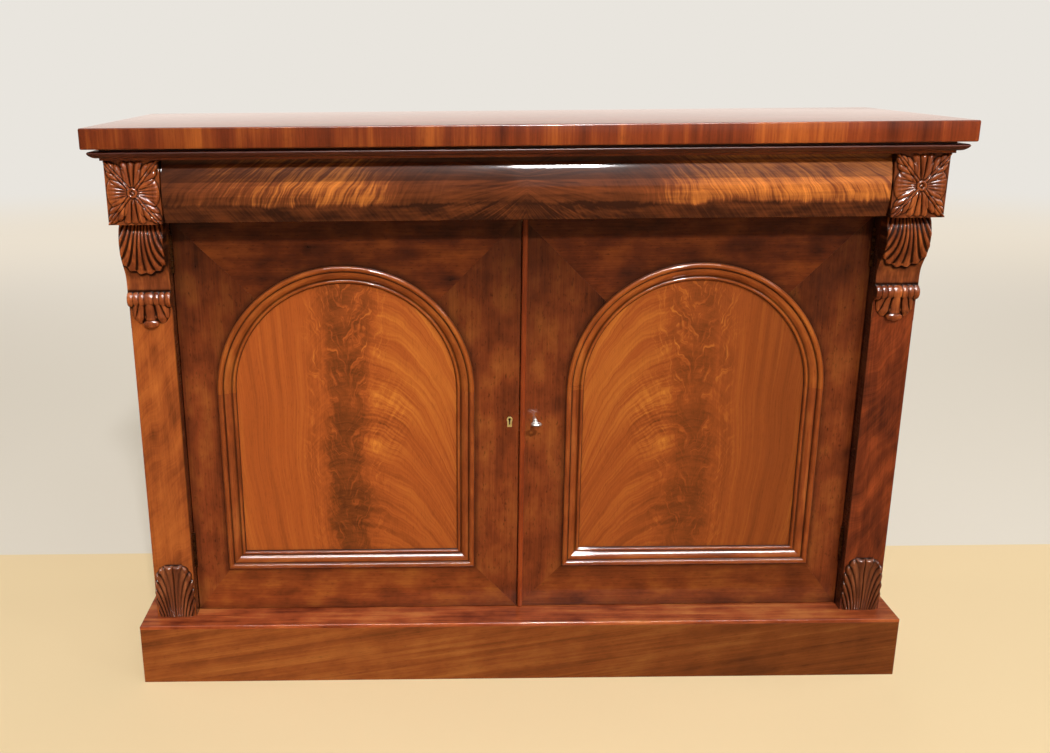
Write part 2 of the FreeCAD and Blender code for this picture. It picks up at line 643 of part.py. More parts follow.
def door_frame(meeting_edge):
    """Four mitred members: hinge stile, meeting stile, top rail and bottom rail."""
    blank = box(meeting_edge, DOOR_OUTER, DOOR_FACE, DOOR_BACK, DOOR_BOTTOM, DOOR_TOP)
    blank = blank.cut(arched_opening(OPENING_RADIUS, OPENING_BOTTOM, DOOR_FACE - 1, DOOR_BACK + 1))
    panel_half = OPENING_RADIUS + PANEL_TONGUE
    blank = blank.cut(box(ARCH_CENTRE_X - panel_half, ARCH_CENTRE_X + panel_half,
                          PANEL_FACE, DOOR_BACK + 1,
                          OPENING_BOTTOM - PANEL_TONGUE, SPRING_Z + panel_half))
    for z in HINGE_HEIGHTS:
        blank = cut(blank, [door_leaf_pocket(z), knuckle_recess(z)])

    depth = V(0, DOOR_THICK, 0)
    inward = 240.0
    top_region = prism([V(meeting_edge, DOOR_FACE, DOOR_TOP),
                        V(meeting_edge + inward, DOOR_FACE, DOOR_TOP - inward),
                        V(DOOR_OUTER - inward, DOOR_FACE, DOOR_TOP - inward),
                        V(DOOR_OUTER, DOOR_FACE, DOOR_TOP)], depth)
    bottom_region = prism([V(meeting_edge, DOOR_FACE, DOOR_BOTTOM),
                           V(ARCH_CENTRE_X - OPENING_RADIUS, DOOR_FACE, OPENING_BOTTOM),
                           V(ARCH_CENTRE_X + OPENING_RADIUS, DOOR_FACE, OPENING_BOTTOM),
                           V(DOOR_OUTER, DOOR_FACE, DOOR_BOTTOM)], depth)
    top_rail = blank.common(top_region)
    bottom_rail = blank.common(bottom_region)
    stile_pair = blank.cut(top_region).cut(bottom_region)
    stile_solids = sorted(stile_pair.Solids, key=lambda solid: solid.CenterOfMass.x)
    return {"meeting_stile": stile_solids[0], "hinge_stile": stile_solids[-1],
            "top_rail": top_rail.Solids[0], "bottom_rail": bottom_rail.Solids[0]}


def door_panel():
    half = OPENING_RADIUS + PANEL_TONGUE - 0.5
    return box(ARCH_CENTRE_X - half, ARCH_CENTRE_X + half, PANEL_FACE, PANEL_FACE + PANEL_THICK,
               OPENING_BOTTOM - PANEL_TONGUE + 0.5, SPRING_Z + half)


def moulding_section(place):
    """Bead, ogee and inner bead in narrow flats; place(inward, proud) puts a point in space."""
    outer_bead = [(0, 2.6), (1.3, 6.0), (4.6, 7.4), (7.9, 6.1), (9.6, 2.0)]
    ogee = [(15.0, 0.9), (20.5, -2.4), (24.2, -4.2)]
    inner_bead = [(25.6, -2.2), (28.4, -2.2), (31.0, -5.2)]
    seat = [(31.0, -PANEL_RECESS), (MOULDING_LAP, -PANEL_RECESS), (MOULDING_LAP, 0)]
    points = [place(*point) for point in [(0, 0)] + outer_bead + ogee + inner_bead + seat]
    return Part.Face(Part.makePolygon(points + [points[0]]))


def door_mouldings():
    """Arch, two uprights and a bottom length, mitred at the lower corners."""
    x, radius, y = ARCH_CENTRE_X, ARCH_RADIUS, DOOR_FACE
    arch = moulding_section(lambda inward, proud: V(x + radius - inward, y - proud, SPRING_Z))
    arch = arch.revolve(V(x, y, SPRING_Z), V(0, -1, 0), 180)
    right = moulding_section(lambda inward, proud: V(x + radius - inward, y - proud, SPRING_Z))
    right = right.extrude(V(0, 0, MOULDING_BOTTOM - SPRING_Z))
    left = moulding_section(lambda inward, proud: V(x - radius + inward, y - proud, SPRING_Z))
    left = left.extrude(V(0, 0, MOULDING_BOTTOM - SPRING_Z))
    low = moulding_section(lambda inward, proud: V(x - radius, y - proud, MOULDING_BOTTOM + inward))
    low = low.extrude(V(2 * radius, 0, 0))
    # The bottom length keeps what lies under the two 45 degree mitres.
    reach = 60.0
    under = prism([V(x - radius, y - 20, MOULDING_BOTTOM), V(x + radius, y - 20, MOULDING_BOTTOM),
                   V(x + radius - reach, y - 20, MOULDING_BOTTOM + reach),
                   V(x - radius + reach, y - 20, MOULDING_BOTTOM + reach)], V(0, 40, 0))
    return [arch, left.cut(under), right.cut(under), low.common(under)]


def build_right_door():
    members = door_frame(RIGHT_DOOR_EDGE)
    pocket, keyway = lock_pocket(), keyhole(RIGHT_DOOR_EDGE, DOOR_BACK + 1)
    members["meeting_stile"] = members["meeting_stile"].cut(pocket).cut(keyway)
    for name, shape in members.items():
        keep("right_door_" + name, shape)
    keep("right_door_panel", door_panel())
    keep("right_door_mouldings", *door_mouldings())
    leaves = [hinge_leaf(z, on_frame=False) for z in HINGE_HEIGHTS]
    keep("right_door_hinge_leaves", *leaves)

    # Astragal: a bead planted on the meeting edge.
    x0, x1 = RIGHT_DOOR_EDGE, RIGHT_DOOR_EDGE + ASTRAGAL_WIDE
    foot = 1.2
    bead = outline_face(V(x0, DOOR_FACE, DOOR_BOTTOM), [
        (V(x0, DOOR_FACE - foot, DOOR_BOTTOM),),
        (V((x0 + x1) / 2, DOOR_FACE - ASTRAGAL_PROUD, DOOR_BOTTOM), V(x1, DOOR_FACE - foot, DOOR_BOTTOM)),
        (V(x1, DOOR_FACE, DOOR_BOTTOM),)]).extrude(V(0, 0, DOOR_TOP - DOOR_BOTTOM))
    keep("right_door_astragal", bead)


def build_left_door():
    """The right door's shapes mirrored, with its own meeting edge, bolts and escutcheon."""
    members = {name: mirrored(shape) for name, shape in door_frame(-LEFT_DOOR_EDGE).items()}
    stile = members["meeting_stile"]
    escutcheon, hole = left_escutcheon()
    strike, mortise = strike_plate()
    stile = cut(stile, [hole, mortise] + [bolt_channel(end) for end in (1, -1)])
    members["meeting_stile"] = stile
    for name in ("top_rail", "bottom_rail"):
        members[name] = cut(members[name], [bolt_channel(end) for end in (1, -1)])
    for name, shape in members.items():
        keep("left_door_" + name, shape)
    keep("left_door_panel", mirrored(door_panel()))
    keep("left_door_mouldings", *[mirrored(shape) for shape in door_mouldings()])
    leaves = [mirrored(hinge_leaf(z, on_frame=False)) for z in HINGE_HEIGHTS]
    keep("left_door_hinge_leaves", *leaves)
    keep("left_door_escutcheon", escutcheon)
    keep("left_door_plates", strike, bolt_plate(1), bolt_plate(-1))
    keep("left_door_upper_bolt", door_bolt(1))
    keep("left_door_lower_bolt", door_bolt(-1))


# ---------------------------------------------------------------- lock, key and bolts
def keyhole_shape(x, z, round_radius, slot_half, slot_low, y0, y1):
    """Round hole with a slot below it, through from y0 to y1."""
    hole = rod(V(x, y0, z), V(0, 1, 0), round_radius, y1 - y0)
    slot = box(x - slot_half, x + slot_half, y0, y1, z - slot_low, z)
    return fused([hole, slot])


def keyhole(edge, y1):
    return keyhole_shape(LOCK_X, LOCK_Z, KEYHOLE_RADIUS, KEYHOLE_SLOT, KEYHOLE_LOW,
                         DOOR_FACE - 1, y1)


def lock_pocket():
    case = box(RIGHT_DOOR_EDGE, LOCK_END, DOOR_BACK - LOCK_DEEP, DOOR_BACK,
               LOCK_Z - LOCK_HALF, LOCK_Z + LOCK_HALF)
    edge = box(RIGHT_DOOR_EDGE, RIGHT_DOOR_EDGE + SELVEDGE_THICK, DOOR_BACK - LOCK_DEEP - 2, DOOR_BACK,
               LOCK_Z - SELVEDGE_HALF, LOCK_Z + SELVEDGE_HALF)
    return fused([case, edge])


def build_lock():
    """Cut cupboard lock let into the back of the right meeting stile, with its key."""
    y0 = DOOR_BACK - LOCK_DEEP
    shell = lock_pocket()
    room = box(RIGHT_DOOR_EDGE + SELVEDGE_THICK, LOCK_END - LOCK_WALL, y0 + LOCK_WALL,
               DOOR_BACK - LOCK_WALL, LOCK_Z - LOCK_HALF + LOCK_WALL, LOCK_Z + LOCK_HALF - LOCK_WALL)
    bolt_y0, bolt_y1 = y0 + LOCK_BOLT_INSET, DOOR_BACK - LOCK_BOLT_INSET
    mouth = box(RIGHT_DOOR_EDGE - 1, RIGHT_DOOR_EDGE + SELVEDGE_THICK + 1, bolt_y0 - 0.2,
                bolt_y1 + 0.2, LOCK_BOLT_LOW - 0.2, LOCK_BOLT_HIGH + 0.2)
    way = keyhole_shape(LOCK_X, LOCK_Z, KEY_BARREL + 0.3, KEYHOLE_SLOT, KEYHOLE_LOW,
                        y0 - 1, y0 + LOCK_WALL + 0.5)
    drill_pin = rod(V(LOCK_X, DOOR_BACK - LOCK_WALL, LOCK_Z), V(0, -1, 0),
                    DRILL_PIN_RADIUS, DRILL_PIN_LONG)
    keep("right_door_lock_case", cut(shell, [room, mouth, way]).fuse(drill_pin))

    bolt = box(RIGHT_DOOR_EDGE + 0.3, LOCK_BOLT_END, bolt_y0, bolt_y1,
               LOCK_BOLT_LOW, LOCK_BOLT_HIGH)
    talon = box(LOCK_X - 2.5, LOCK_X + 12.0, bolt_y0 - 1, bolt_y1 + 1,
                LOCK_BOLT_LOW - 1, LOCK_BOLT_LOW + 4.2)
    keep("lock_bolt", bolt.cut(talon))

    # Key: barrel on the drill pin, bit pointing sideways, oval bow lying flat.
    inner_end = DOOR_BACK - LOCK_WALL - 0.5
    bow_y = DOOR_FACE - KEY_BOW_PROUD
    barrel = rod(V(LOCK_X, inner_end, LOCK_Z), V(0, -1, 0), KEY_BARREL, inner_end - bow_y - 6.0)
    collar = rod(V(LOCK_X, bow_y + 9.5, LOCK_Z), V(0, -1, 0), KEY_BARREL + 1.3, 2.2)
    bit_end = inner_end - 1.5
    bit = box(LOCK_X, LOCK_X + KEY_BIT_REACH, bit_end - KEY_BIT_TALL, bit_end,
              LOCK_Z - 1.0, LOCK_Z + 1.0)
    bow = key_bow(V(LOCK_X, bow_y, LOCK_Z))
    bore = rod(V(LOCK_X, inner_end + 1, LOCK_Z), V(0, -1, 0),
               DRILL_PIN_RADIUS + HINGE_RUNNING, DRILL_PIN_LONG + 2)
    keep("key", fused([barrel, collar, bit, bow]).cut(bore))


def key_bow(centre):
    """Flat oval ring, longer across than along the key."""
    across, along, thick = 9.5, 7.5, 2.6
    window_across, window_along = 6.0, 4.2
    sides = 14

    def oval(major, minor):
        turns = [2 * math.pi * step / sides for step in range(sides)]
        low = centre.z - thick / 2
        rim = [V(centre.x + major * math.cos(t), centre.y + minor * math.sin(t), low) for t in turns]
        return prism(rim, V(0, 0, thick))

    return oval(across, along).cut(oval(window_across, window_along))


def left_escutcheon():
    """Brass thread let in flush round a blind keyhole in the left meeting stile."""
    x, z, rim = ESCUTCHEON_X, ESCUTCHEON_Z, ESCUTCHEON_RIM
    outer = keyhole_shape(x, z, ESCUTCHEON_RADIUS + rim, KEYHOLE_SLOT + rim,
                          KEYHOLE_LOW + 3.0, DOOR_FACE, DOOR_FACE + ESCUTCHEON_DEEP)
    inner = keyhole_shape(x, z, ESCUTCHEON_RADIUS, ESCUTCHEON_SLOT, ESCUTCHEON_LOW,
                          DOOR_FACE - 1, DOOR_FACE + ESCUTCHEON_DEEP + 1)
    blind = keyhole_shape(x, z, ESCUTCHEON_RADIUS, ESCUTCHEON_SLOT, ESCUTCHEON_LOW,
                          DOOR_FACE - 1, DOOR_FACE + ESCUTCHEON_DEEP + 4)
    return outer.cut(inner), fused([outer, blind])


def strike_plate():
    """Brass plate on the left door's edge with a mouth for the lock bolt."""
    y0, y1 = DOOR_BACK - LOCK_DEEP, DOOR_BACK - STRIKE_THICK
    z0, z1 = LOCK_Z - STRIKE_BELOW, LOCK_Z + STRIKE_ABOVE
    x1 = LEFT_DOOR_EDGE
    plate = box(x1 - STRIKE_THICK, x1, y0, y1, z0, z1)
    mouth = box(x1 - 12.0, x1 + 1, y0 + 1.8, y1 - 0.3, LOCK_BOLT_LOW - 1.0, LOCK_BOLT_HIGH + 1.0)
    mortise = fused([box(x1 - STRIKE_THICK, x1 + 1, y0, y1, z0, z1), mouth])
    return plate.cut(mouth), mortise


def bolt_span(end, start, stop):
    """Z range measured inwards from the door's top (end=1) or bottom (end=-1) edge."""
    edge = DOOR_TOP if end == 1 else DOOR_BOTTOM
    z0, z1 = edge - end * start, edge - end * stop
    return min(z0, z1), max(z0, z1)


def bolt_plate_blank(end, y1):
    """Outline of the plate from its front face to y1."""
    z0, z1 = bolt_span(end, BOLT_PLATE_START, BOLT_PLATE_START + BOLT_PLATE_LONG)
    return box(BOLT_X - BOLT_PLATE_HALF, BOLT_X + BOLT_PLATE_HALF,
               DOOR_BACK - BOLT_PLATE_THICK, y1, z0, z1)


def bolt_channel(end):
    z0, z1 = bolt_span(end, -1.0, BOLT_LENGTH + BOLT_TRAVEL + 3.0)
    half = BOLT_ROD + BOLT_ROOM
    groove = box(BOLT_X - half, BOLT_X + half, BOLT_Y - half, DOOR_BACK + 1, z0, z1)
    return fused([groove, bolt_plate_blank(end, DOOR_BACK + 1)])


def bolt_plate(end):
    """Flush plate that holds the bolt in its channel, slotted for the knob."""
    s0, s1 = bolt_span(end, BOLT_KNOB - BOLT_TRAVEL - 4.0, BOLT_KNOB + 4.0)
    half = BOLT_STEM + 0.4
    slot = box(BOLT_X - half, BOLT_X + half, DOOR_BACK - BOLT_PLATE_THICK - 1, DOOR_BACK + 1, s0, s1)
    return bolt_plate_blank(end, DOOR_BACK).cut(slot)


def door_bolt(end):
    """Square brass bolt with a stem and button; it slides out of the door's edge."""
    z0, z1 = bolt_span(end, 1.0, BOLT_LENGTH)
    shaft = box(BOLT_X - BOLT_ROD, BOLT_X + BOLT_ROD, BOLT_Y - BOLT_ROD, BOLT_Y + BOLT_ROD, z0, z1)
    knob_z = bolt_span(end, BOLT_KNOB, BOLT_KNOB)[0]
    stem = box(BOLT_X - BOLT_STEM, BOLT_X + BOLT_STEM, BOLT_Y, DOOR_BACK + 1.2,
               knob_z - BOLT_STEM, knob_z + BOLT_STEM)
    button = rod(V(BOLT_X, DOOR_BACK + 0.6, knob_z), V(0, 1, 0), BOLT_BUTTON_RADIUS, BOLT_BUTTON_THICK)
    return fused([shaft, stem, button])


def bolt_hole(end):
    """Keep for the bolt, in the divider above the door or the ledge below it."""
    z0 = DIVIDER_BOTTOM - 1 if end == 1 else PLINTH_HEIGHT - LEDGE_THICK - 1
    half = BOLT_ROD + 0.6
    return box(BOLT_X - half, BOLT_X + half, BOLT_Y - half, BOLT_Y + half, z0, z0 + 14.0)


# ---------------------------------------------------------------- drawer
def tail_spans():
    """Heights of the dovetails at their wide ends, evenly shared over the side."""
    pitch = (DRAWER_SIDE_TOP - DRAWER_SIDE_BOTTOM) / TAIL_COUNT
    for index in range(TAIL_COUNT):
        middle = DRAWER_SIDE_BOTTOM + (index + 0.5) * pitch
        yield middle - pitch * 0.36, middle + pitch * 0.36


def side_tails(x0, x1, y_root, length):
    """Dovetails of a drawer side; a negative length points to the front."""
    slope = abs(length) / 6.0
    tails = []
    for low, high in tail_spans():
        tails.append(prism([V(x0, y_root, low + slope), V(x0, y_root + length, low),
                            V(x0, y_root + length, high), V(x0, y_root, high - slope)],
                           V(x1 - x0, 0, 0)))
    return tails


def build_drawer():
    half = BLOCK_INNER - DRAWER_CLEAR
    front_top = FRIEZE_TOP - DRAWER_CLEAR
    back_y = DRAWER_FRONT_BACK
    mid_y = back_y - DRAWER_FRONT_THICK
    x0, x1 = DRAWER_SIDE_OUTER - DRAWER_SIDE_THICK, DRAWER_SIDE_OUTER
    back_thick = DRAWER_SIDE_THICK

    body = box(x0, x1, back_y, DRAWER_BACK_Y - back_thick, DRAWER_SIDE_BOTTOM, DRAWER_SIDE_TOP)
    front_tails = side_tails(x0, x1, back_y, -DRAWER_LAP)
    rear_tails = side_tails(x0, x1, DRAWER_BACK_Y - back_thick, back_thick)
    side = fused([body] + front_tails + rear_tails)
    groove_low = DRAWER_SIDE_BOTTOM + 6.0
    groove_high = groove_low + DRAWER_BOTTOM_THICK
    bottom_reach = DRAWER_BACK_Y
    groove = box(x0 - 1, x0 + 5, back_y - 6, bottom_reach + 1, groove_low, groove_high)
    side = side.cut(groove)
    left_side = mirrored(side)

    front = box(-half, half, mid_y, back_y, FRIEZE_BOTTOM + 0.5, front_top)
    sockets = front_tails + [mirrored(tail) for tail in front_tails]
    front_groove = box(-x0, x0, back_y - 6, back_y + 1, groove_low, groove_high)
    front = cut(front, sockets + [front_groove])

    back = box(-x1, x1, DRAWER_BACK_Y - back_thick, DRAWER_BACK_Y, groove_high, DRAWER_SIDE_TOP)
    back = cut(back, [side, left_side])

    keep("drawer_front", front)
    keep("drawer_side_right", side)
    keep("drawer_side_left", left_side)
    keep("drawer_back", back)

    # Bottom: two boards in a grooved centre muntin, slid in from behind.
    muntin_high = groove_high + 4
    reach = x0 + 4.6
    boards = []
    for sign in (-1, 1):
        inner, outer = sign * (MUNTIN_HALF - MUNTIN_TONGUE), sign * reach
        boards.append(box(min(inner, outer), max(inner, outer), back_y - 5.5, bottom_reach,
                          groove_low, groove_high))
    muntin = box(-MUNTIN_HALF, MUNTIN_HALF, back_y, DRAWER_BACK_Y - back_thick,
                 DRAWER_SIDE_BOTTOM + 1, muntin_high)
    muntin = cut(muntin, boards)
    keep("drawer_bottom", boards[0], boards[1], muntin)

    # Cushion moulding planted on the front, hiding the divider below it.
    def at(y, z):
        return V(-half, y, z)

    low, high = FRIEZE_BOTTOM + 0.5, front_top
    rim_y = mid_y - CUSHION_RIM
    step_low = high - CUSHION_STEP
    middle = (low + step_low) / 2
    cushion = outline_face(at(mid_y, low), [
        (at(rim_y, low),),
        (at(rim_y - CUSHION_BULGE, middle), at(rim_y, step_low)),
        (at(rim_y + 3, step_low),),
        (at(rim_y + 3, high),),
        (at(mid_y, high),)]).extrude(V(2 * half, 0, 0))
    keep("drawer_cushion", cushion)


# ---------------------------------------------------------------- assembly
def main():
    os.makedirs("parts", exist_ok=True)
    build_plinth(bolt_hole(-1))
    build_carcass(bolt_hole(1))
    build_top()
    build_pilasters()
    build_frame_hinges()
    build_right_door()
    build_left_door()
    build_lock()
    build_drawer()
    for name, shape in sorted(parts.items()):
        bad = [solid for solid in shape.Solids if not solid.isValid()]
        shape.exportStep("parts/" + name + ".step")
        print(name, len(shape.Solids), "solids", "INVALID" if bad or not shape.Solids else "ok")
    print(len(parts), "nodes")


main()
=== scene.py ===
"""Looks of a two-door mahogany chiffonier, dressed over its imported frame.

Frame: +X to the viewer's right, the front faces -Y, +Z up, metres.  Named sizes and those in
the classes are millimetres, turned to metres by MM; the studio's are metres.
"""

import logging
import math
from dataclasses import dataclass
from enum import Enum
from typing import Callable, Sequence

import bpy
import numpy as np
from mathutils import Matrix, Vector


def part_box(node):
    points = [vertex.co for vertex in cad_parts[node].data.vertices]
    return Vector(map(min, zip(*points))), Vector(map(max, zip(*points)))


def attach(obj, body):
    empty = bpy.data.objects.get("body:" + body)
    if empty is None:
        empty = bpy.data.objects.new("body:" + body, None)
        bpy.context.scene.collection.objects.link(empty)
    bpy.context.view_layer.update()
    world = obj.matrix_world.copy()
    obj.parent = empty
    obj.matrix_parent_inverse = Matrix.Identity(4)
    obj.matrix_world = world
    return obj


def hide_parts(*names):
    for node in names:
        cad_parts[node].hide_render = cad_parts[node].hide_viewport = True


LOG = logging.getLogger("chiffonier")
MM = 0.001
SHELLAC_IOR = 1.5                  # and near enough that of wood
ABSENT = -0.05                     # height of a carved form where it isn't
DOOR_FACE, DOOR_BACK = -126.0, -104.0                   # y of the shut doors' front and back
PANEL_CENTRE = 299.75              # middle of each door's panel, from the centre line
ARCH_RADIUS = 220.75               # outer edge of the moulding round the panel
ARCH_SPRING = 524.25               # height at which its arch starts
PANEL_BOTTOM = 194.5               # height of its outer edge below

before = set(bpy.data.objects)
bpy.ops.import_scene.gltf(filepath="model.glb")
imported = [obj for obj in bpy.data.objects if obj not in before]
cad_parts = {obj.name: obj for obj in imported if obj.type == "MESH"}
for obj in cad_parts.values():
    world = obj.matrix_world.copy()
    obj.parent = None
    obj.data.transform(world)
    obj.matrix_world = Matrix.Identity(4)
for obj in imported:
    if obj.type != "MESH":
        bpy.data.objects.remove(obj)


# ---------------------------------------------------------------- colour and shader nodes
def linear(code: str) -> tuple[float, float, float, float]:
    """Turn an sRGB hex colour into Blender's linear colour.

    Args:
        code: colour such as "#8A4A20".

    Returns:
        Linear red, green and blue, and an alpha of 1.
    """
    shares = [int(code[place:place + 2], 16) / 255 for place in (1, 3, 5)]
    red, green, blue = (s / 12.92 if s <= 0.04045 else ((s + 0.055) / 1.055) ** 2.4 for s in shares)
    return red, green, blue, 1.0


def emptied(owner: bpy.types.Material | bpy.types.World) -> bpy.types.NodeTree:
    """Turn on the nodes of a material or of the world, and clear them.

    Args:
        owner: the material or the world.

    Returns:
        Its empty node tree.
    """
    owner.use_nodes = True
    owner.node_tree.nodes.clear()
    return owner.node_tree


def wire(tree: bpy.types.NodeTree, node: bpy.types.Node, links: dict) -> None:
    """Give a node's inputs their links and plain values.

    Args:
        tree: node tree that holds the node.
        node: node whose inputs are set.
        links: per input, by number or name, a node, a socket, a Field or a plain value.
    """
    for key, value in links.items():
        entry = node.inputs[key]
        if isinstance(value, Field):
            value = value.socket
        if isinstance(value, bpy.types.Node):
            value = value.outputs[2] if value.bl_idname == "ShaderNodeMix" else value.outputs[0]
        if isinstance(value, bpy.types.NodeSocket):
            tree.links.new(value, entry)
        else:
            entry.default_value = value


def add_node(tree: bpy.types.NodeTree, kind: str, links: dict | None = None,
             stops: Sequence[tuple[float, str]] = (), **settings: object) -> bpy.types.Node:
    """Add a shader node with its settings, values and links.

    Args:
        tree: node tree that gets the node.
        kind: node type without its "ShaderNode" prefix.
        links: per input, by number or name, a node, a socket, a Field or a plain value.
        stops: places and hex colours, where the node has a colour ramp.
        settings: the node's own properties.

    Returns:
        The new node.
    """
    node = tree.nodes.new("ShaderNode" + kind)
    for name, value in settings.items():
        setattr(node, name, value)
    wire(tree, node, links or {})
    if stops:
        elements = node.color_ramp.elements
        while len(elements) < len(stops):
            elements.new(0.5)
        for element, (place, code) in zip(elements, stops):
            element.position = place
            element.color = linear(code)
    return node


class Field:
    """A number that varies over a surface, with arithmetic that adds the nodes for it."""

    def __init__(self, tree: bpy.types.NodeTree, source: bpy.types.Node | bpy.types.NodeSocket) -> None:
        """Wrap a node's first output, or one socket, of `tree`."""
        self.tree = tree
        self.socket = source.outputs[0] if isinstance(source, bpy.types.Node) else source

    def _sum(self, operation: str, *values: object) -> "Field":
        """Result of one Math node, with the values as its operands in order."""
        return Field(self.tree, add_node(self.tree, "Math", dict(enumerate(values)), operation=operation))

    def __add__(self, other: object) -> "Field":
        """Sum."""
        return self._sum("ADD", self, other)

    def __sub__(self, other: object) -> "Field":
        """Difference."""
        return self._sum("SUBTRACT", self, other)

    def __rsub__(self, other: float) -> "Field":
        """Difference from a plain number."""
        return self._sum("SUBTRACT", other, self)

    def __mul__(self, other: object) -> "Field":
        """Product."""
        return self._sum("MULTIPLY", self, other)

    def __truediv__(self, other: object) -> "Field":
        """Quotient."""
        return self._sum("DIVIDE", self, other)

    __radd__ = __add__
    __rmul__ = __mul__

    def size(self) -> "Field":
        """Value without its sign."""
        return self._sum("ABSOLUTE", self)

    def at_least(self, floor: object) -> "Field":
        """Value, but never below `floor`."""
        return self._sum("MAXIMUM", self, floor)

    def span(self, other: "Field") -> "Field":
        """Length of the two values taken as legs of a right angle."""
        return self._sum("POWER", self * self + other * other, 0.5)

    def rise(self, low: float, high: float) -> "Field":
        """Smooth step from 0 to 1.

        Args:
            low: value at which it leaves 0.
            high: value at which it reaches 1.

        Returns:
            The step as a new field.
        """
        node = add_node(self.tree, "MapRange", {"Value": self, "From Min": low, "From Max": high},
                        interpolation_type="SMOOTHSTEP")
        return Field(self.tree, node)


class Grain(Enum):
    """Way in which the grain of a piece runs."""

    ACROSS = "x"
    DEEP = "y"
    UPRIGHT = "z"
    RUN = "run"


def millimetres(tree: bpy.types.NodeTree, grain: Grain) -> tuple[Field, Field, Field]:
    """Place on the piece in millimetres, turned so that the grain comes first.

    Args:
        tree: node tree of the material.
        grain: way of the grain; RUN reads the piece's own "run" attribute, along a moulding.

    Returns:
        Distance along the grain and the two distances across it.
    """
    if grain is Grain.RUN:
        place = add_node(tree, "Attribute", attribute_name="run").outputs["Vector"]
    else:
        place = add_node(tree, "TexCoord").outputs["Object"]
    split = add_node(tree, "SeparateXYZ", {0: place})
    x, y, z = (Field(tree, split.outputs[axis]) * 1000.0 for axis in range(3))
    order = {Grain.ACROSS: (x, z, y), Grain.DEEP: (y, z, x), Grain.UPRIGHT: (z, x, y), Grain.RUN: (x, y, z)}
    return order[grain]


def cloud(tree: bpy.types.NodeTree, place: Sequence[Field], spread: Sequence[float], seed: float,
          detail: float = 2.0, warp: float = 0.0) -> Field:
    """Soft random pattern of a real size.

    Args:
        tree: node tree of the material.
        place: up to three coordinates in millimetres.
        spread: size of one blotch or streak along each coordinate, in millimetres.
        seed: shifts the pattern, so that pieces differ.
        detail: how many finer layers it has.
        warp: how far it swirls.

    Returns:
        Values round 0.5.
    """
    scaled = [value * (1.0 / size) for value, size in zip(place, spread)]
    vector = add_node(tree, "CombineXYZ", dict(enumerate(scaled)))
    shifted = add_node(tree, "VectorMath", {0: vector, 1: (seed, seed * 1.7, seed * 2.3)}, operation="ADD")
    return Field(tree, add_node(tree, "TexNoise", {"Vector": shifted, "Scale": 1.0, "Detail": detail,
                                                   "Roughness": 0.55, "Distortion": warp}))


# ---------------------------------------------------------------- finishes
@dataclass(frozen=True)
class Finish:
    """One finish, turned into a material once and shared by its pieces."""

    name: str

    def material(self) -> bpy.types.Material:
        """Material of this finish, made at its first use.

        Returns:
            The material.
        """
        title = "finish_" + self.name
        known = bpy.data.materials.get(title)
        if known:
            return known
        made = bpy.data.materials.new(title)
        tree = emptied(made)
        shader = add_node(tree, "BsdfPrincipled")
        self.paint(tree, shader)
        add_node(tree, "OutputMaterial", {"Surface": shader})
        return made

    def paint(self, tree: bpy.types.NodeTree, shader: bpy.types.Node) -> None:
        """Give the shader its colour, gloss and relief; each finish has its own."""
        raise NotImplementedError


